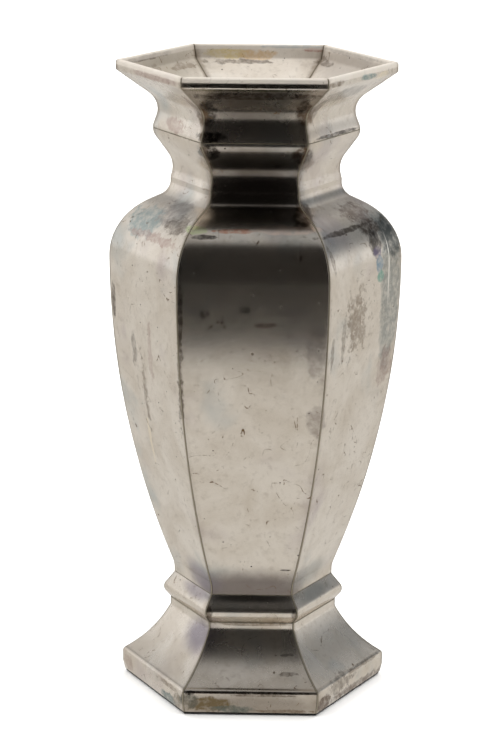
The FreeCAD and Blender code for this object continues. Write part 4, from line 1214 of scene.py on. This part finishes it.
class RingOperator:
    """What the operators that make the panels and upright solder of a ring share."""

    ring = ""
    piece = "panel"
    across = 24
    tarnish_level = 1.0
    roughness = 0.19

    def make_section(self, scene):
        raise NotImplementedError

    def execute(self, context):
        scene = context.scene
        section = self.make_section(scene)
        slot = f"silver_plate_{self.ring}"
        metal = silver_plate(slot, self.tarnish_level, self.roughness)
        for facing, angle in FACINGS.items():
            node = f"{self.ring}_{self.piece}_{facing}"
            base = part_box(node)[0][2]
            made = make_panel(scene, f"{node}_skin", section, angle, base, metal,
                              self.across)
            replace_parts(made, node)
        node = f"{self.ring}_seam_solder"
        solder = bpy.data.materials.get("soft_solder") or soft_solder()
        made = make_seam(scene, f"{node}_run", section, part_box(node)[0][2], solder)
        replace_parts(made, node)
        return {"FINISHED"}


class VASE_OT_make_mouth(RingOperator, bpy.types.Operator):
    """Make the six panels of the mouth and the solder between them"""
    bl_idname = "vase.make_mouth"
    bl_label = "Mouth"
    ring = "mouth"
    across = 40
    tarnish_level = 1.1
    roughness = 0.25

    def make_section(self, scene):
        return mouth_section(scene)


class VASE_OT_make_body(RingOperator, bpy.types.Operator):
    """Make the six panels of the body and the solder between them"""
    bl_idname = "vase.make_body"
    bl_label = "Body"
    ring = "body"
    across = 36

    def make_section(self, scene):
        return body_section(scene)


class VASE_OT_make_collar(RingOperator, bpy.types.Operator):
    """Make the six strips of the collar and the solder between them"""
    bl_idname = "vase.make_collar"
    bl_label = "Collar"
    ring = "collar"
    piece = "strip"
    across = 28
    tarnish_level = 1.2
    roughness = 0.24

    def make_section(self, scene):
        return collar_section(scene)


class VASE_OT_make_foot(RingOperator, bpy.types.Operator):
    """Make the six panels of the foot and the solder between them"""
    bl_idname = "vase.make_foot"
    bl_label = "Foot"
    ring = "foot"
    across = 36
    roughness = 0.25

    def make_section(self, scene):
        return foot_section(scene)


class VASE_OT_make_level_seams(bpy.types.Operator):
    """Make the three level solder joints between the rings"""
    bl_idname = "vase.make_level_seams"
    bl_label = "Level solder joints"

    def execute(self, context):
        solder = bpy.data.materials.get("soft_solder") or soft_solder()
        for node, proud in BEAD_LUMPS.items():
            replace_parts(make_level_seam(context.scene, node, proud, solder), node)
        return {"FINISHED"}


class VASE_OT_finish_inside(bpy.types.Operator):
    """Give the floor, the closing plate and the filling their materials"""
    bl_idname = "vase.finish_inside"
    bl_label = "Floor and filling"

    def execute(self, context):
        colours = context.scene.vase_colours
        finishes = {
            "floor_plate": dull_metal("floor_metal", colours.floor_metal),
            "floor_solder": bpy.data.materials.get("soft_solder") or soft_solder(),
            "base_plate": dull_metal("base_metal", colours.floor_metal),
            "foot_load": cast_plaster(),
        }
        for node, material in finishes.items():
            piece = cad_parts[node]
            for slot in piece.material_slots:
                slot.link = "OBJECT"
                slot.material = material
        return {"FINISHED"}


class VASE_OT_make_baize(bpy.types.Operator):
    """Make the felt pad under the foot"""
    bl_idname = "vase.make_baize"
    bl_label = "Baize"

    def execute(self, context):
        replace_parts(make_baize(black_baize()), "baize_pad")
        return {"FINISHED"}


def stage_material(name, code):
    """Matt seamless paper: white pulp, faintly mottled, with no gloss."""
    material, tree, shader, place = new_material(name)
    pulp = add_node(tree, "ShaderNodeTexNoise", {"Vector": place, "Scale": 1 / 40,
                                                 "Detail": 3.0})
    tone = add_node(tree, "ShaderNodeMapRange",
                    {"Value": pulp.outputs[0], "To Min": 0.985, "To Max": 1.0})
    tinted = add_node(tree, "ShaderNodeVectorMath",
                      {0: linear(code)[:3], "Scale": tone.outputs[0]}, operation="SCALE")
    tree.links.new(tinted.outputs[0], shader.inputs["Base Color"])
    shader.inputs["Roughness"].default_value = 1.0
    shader.inputs["Specular IOR Level"].default_value = 0.0
    return material


def new_floor(name, low, high, level, material):
    """Level rectangle of paper between two corners."""
    corners = [(low[0], low[1], level), (high[0], low[1], level),
               (high[0], high[1], level), (low[0], high[1], level)]
    mesh = bpy.data.meshes.new(name)
    mesh.from_pydata(corners, [], [(0, 1, 2, 3)])
    mesh.materials.append(material)
    paper = bpy.data.objects.new(name, mesh)
    bpy.context.scene.collection.objects.link(paper)
    return paper


class Zone:
    """A darker part of the room: heading and half width, elevations, soft edge and tint.

    All but the tint are in degrees.  A heading of 0 is to the vase's right, and -90 in
    front of it.
    """

    def __init__(self, heading, half_width, low, high, softness, tint):
        turn = math.radians(heading)
        self.direction = (math.cos(turn), math.sin(turn), 0)
        self.sides = [math.cos(math.radians(half_width + softness)),
                      math.cos(math.radians(half_width - softness))]
        self.under = [math.sin(math.radians(low - softness / 2)),
                      math.sin(math.radians(low + softness / 2))]
        self.over = [math.sin(math.radians(high + softness / 2)),
                     math.sin(math.radians(high - softness / 2))]
        self.tint = (*tint, 1)


ZONES = (
    # shaded corners, behind the vase to its right and high up behind it
    Zone(32, 24, 10, 32, 14, (0.27, 0.29, 0.31)),
    Zone(90, 24, 24, 60, 10, (0.22, 0.22, 0.22)),
    # the unlit room, from which the vase is looked at
    Zone(-90, 44, -35.5, 59, 12, (0.028, 0.026, 0.024)),
)
# Sines of the elevations between which the walls fade into the ceiling, and the X of the
# headings between which the right wall turns into the left one.
WALL_FADE = (0.15, 0.8)
LEFT_FADE = (0.3, -0.6)


def make_surroundings(scene):
    """White room with darker parts, as the mirror of the metal sees it.

    The camera itself sees plain white.  Heights are sines of the elevation.
    """
    stage = scene.vase_stage
    world = bpy.data.worlds.new("white_room")
    scene.world = world
    world.use_nodes = True
    tree = world.node_tree
    tree.nodes.clear()
    source = add_node(tree, "ShaderNodeTexCoord")
    parts = add_node(tree, "ShaderNodeSeparateXYZ", {0: source.outputs["Generated"]})
    level = add_node(tree, "ShaderNodeVectorMath",
                     {0: source.outputs["Generated"], 1: (1, 1, 0)}, operation="MULTIPLY")
    outwards = add_node(tree, "ShaderNodeVectorMath", {0: level.outputs[0]},
                        operation="NORMALIZE")
    heading = add_node(tree, "ShaderNodeSeparateXYZ", {0: outwards.outputs[0]})
    wall_tone = add_node(tree, "ShaderNodeMapRange",
                         {"Value": heading.outputs["X"], "From Min": LEFT_FADE[0],
                          "From Max": LEFT_FADE[1], "To Min": stage.right_wall,
                          "To Max": stage.left_wall}, interpolation_type="SMOOTHSTEP")
    low_share = add_node(tree, "ShaderNodeMapRange",
                         {"Value": parts.outputs["Z"], "From Min": WALL_FADE[0],
                          "From Max": WALL_FADE[1], "To Min": 1.0, "To Max": 0.0},
                         interpolation_type="SMOOTHSTEP")
    tone = add_node(tree, "ShaderNodeMix",
                    {MIX_AMOUNT: low_share.outputs[0],
                     MIX_UNDER: (stage.ceiling, stage.ceiling, stage.ceiling, 1),
                     MIX_OVER: wall_tone.outputs[0]}, data_type="RGBA")
    for zone in ZONES:
        facing = add_node(tree, "ShaderNodeVectorMath",
                          {0: outwards.outputs[0], 1: zone.direction},
                          operation="DOT_PRODUCT")
        edges = [(facing.outputs["Value"], zone.sides), (parts.outputs["Z"], zone.under),
                 (parts.outputs["Z"], zone.over)]
        share = 1.0
        for value, (start, stop) in edges:
            within = add_node(tree, "ShaderNodeMapRange",
                              {"Value": value, "From Min": start, "From Max": stop},
                              interpolation_type="SMOOTHSTEP")
            shared = add_node(tree, "ShaderNodeMath", {0: within.outputs[0], 1: share},
                              operation="MULTIPLY")
            share = shared.outputs[0]
        tone = add_node(tree, "ShaderNodeMix",
                        {MIX_AMOUNT: share, MIX_UNDER: tone.outputs[MIX_RESULT],
                         MIX_OVER: zone.tint}, data_type="RGBA")
    room = add_node(tree, "ShaderNodeBackground", {"Color": tone.outputs[MIX_RESULT]})
    backdrop = add_node(tree, "ShaderNodeBackground", {"Color": (1, 1, 1, 1)})
    path = add_node(tree, "ShaderNodeLightPath")
    chosen = add_node(tree, "ShaderNodeMixShader",
                      {0: path.outputs["Is Camera Ray"], 1: room.outputs[0],
                       2: backdrop.outputs[0]})
    add_node(tree, "ShaderNodeOutputWorld", {"Surface": chosen.outputs[0]})


# Camera: width of the frame in millimetres, and the nearest and farthest that it sees.
SENSOR_WIDTH = 36.0
CLIPPING = (0.01, 50.0)

# Light: side of the square and where its middle is, in metres.
LIGHT_SIZE = 4.0
LIGHT_PLACE = (0, 0.6, 1.8)

# How far the floor, and the paper that only the metal mirrors, lie under the vase.
FLOOR_DROP = 0.05 * MM
MIRRORED_DROP = 0.1 * MM


def make_camera(scene):
    """Camera a little above the mouth, looking down at the middle of the body."""
    stage = scene.vase_stage
    data = bpy.data.cameras.new("camera")
    data.lens = stage.lens
    data.sensor_width = SENSOR_WIDTH
    data.clip_start, data.clip_end = CLIPPING
    camera = bpy.data.objects.new("camera", data)
    scene.collection.objects.link(camera)
    turn = (Matrix.Rotation(stage.camera_yaw, 4, "Z")
            @ Matrix.Rotation(math.pi / 2 - stage.camera_pitch, 4, "X")
            @ Matrix.Rotation(stage.camera_roll, 4, "Z"))
    place = (stage.camera_side, -stage.camera_away, stage.camera_height)
    camera.matrix_world = Matrix.Translation(place) @ turn
    scene.camera = camera


def make_lights(scene):
    """One large soft light overhead, which whitens the floor and the mouth."""
    stage = scene.vase_stage
    data = bpy.data.lights.new("overhead", "AREA")
    data.shape = "SQUARE"
    data.size = LIGHT_SIZE
    data.energy = stage.overhead
    light = bpy.data.objects.new("overhead", data)
    scene.collection.objects.link(light)
    light.location = LIGHT_PLACE
    light.visible_glossy = False


class VASE_OT_make_stage(bpy.types.Operator):
    """Make the floor, the surroundings, the light and the camera"""
    bl_idname = "vase.make_stage"
    bl_label = "Stage"

    def execute(self, context):
        scene = context.scene
        stage = scene.vase_stage
        scene.view_settings.view_transform = "Standard"
        half = stage.floor_size / 2
        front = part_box("foot_panel_front")[0][1]
        paper = stage_material("white_paper", "F7F6F4")
        floor = new_floor("floor", (-half, -half), (half, half), -FLOOR_DROP, paper)
        floor.visible_glossy = False
        mirrored = new_floor("floor_near", (-half, front - stage.paper_reach), (half, half),
                             -MIRRORED_DROP, paper)
        mirrored.visible_camera = False
        mirrored.visible_diffuse = False
        mirrored.visible_shadow = False
        make_surroundings(scene)
        make_lights(scene)
        make_camera(scene)
        return {"FINISHED"}


STEPS = (
    VASE_OT_make_mouth,
    VASE_OT_make_body,
    VASE_OT_make_collar,
    VASE_OT_make_foot,
    VASE_OT_make_level_seams,
    VASE_OT_finish_inside,
    VASE_OT_make_baize,
    VASE_OT_make_stage,
)


class VASE_PT_sidebar(bpy.types.Panel):
    """The vase's sizes, colours and steps"""
    bl_idname = "VASE_PT_sidebar"
    bl_label = "Vase"
    bl_space_type = "VIEW_3D"
    bl_region_type = "UI"
    bl_category = "Vase"

    def draw(self, context):
        for name, group in SETTINGS.items():
            box = self.layout.box()
            settings = getattr(context.scene, name)
            for field in group.__annotations__:
                box.prop(settings, field)
        for step in STEPS:
            self.layout.operator(step.bl_idname)


CLASSES = (*SETTINGS.values(), *STEPS, VASE_PT_sidebar)


def register():
    for item in CLASSES:
        bpy.utils.register_class(item)
    for name, group in SETTINGS.items():
        setattr(bpy.types.Scene, name, PointerProperty(type=group))


def unregister():
    for name in SETTINGS:
        delattr(bpy.types.Scene, name)
    for item in reversed(CLASSES):
        bpy.utils.unregister_class(item)


def main():
    """Build every piece and the stage.  The vase's box is noted once, as the model loads."""
    register()
    for step in STEPS:
        module, name = step.bl_idname.split(".")
        getattr(getattr(bpy.ops, module), name)()


if __name__ == "__main__":
    main()
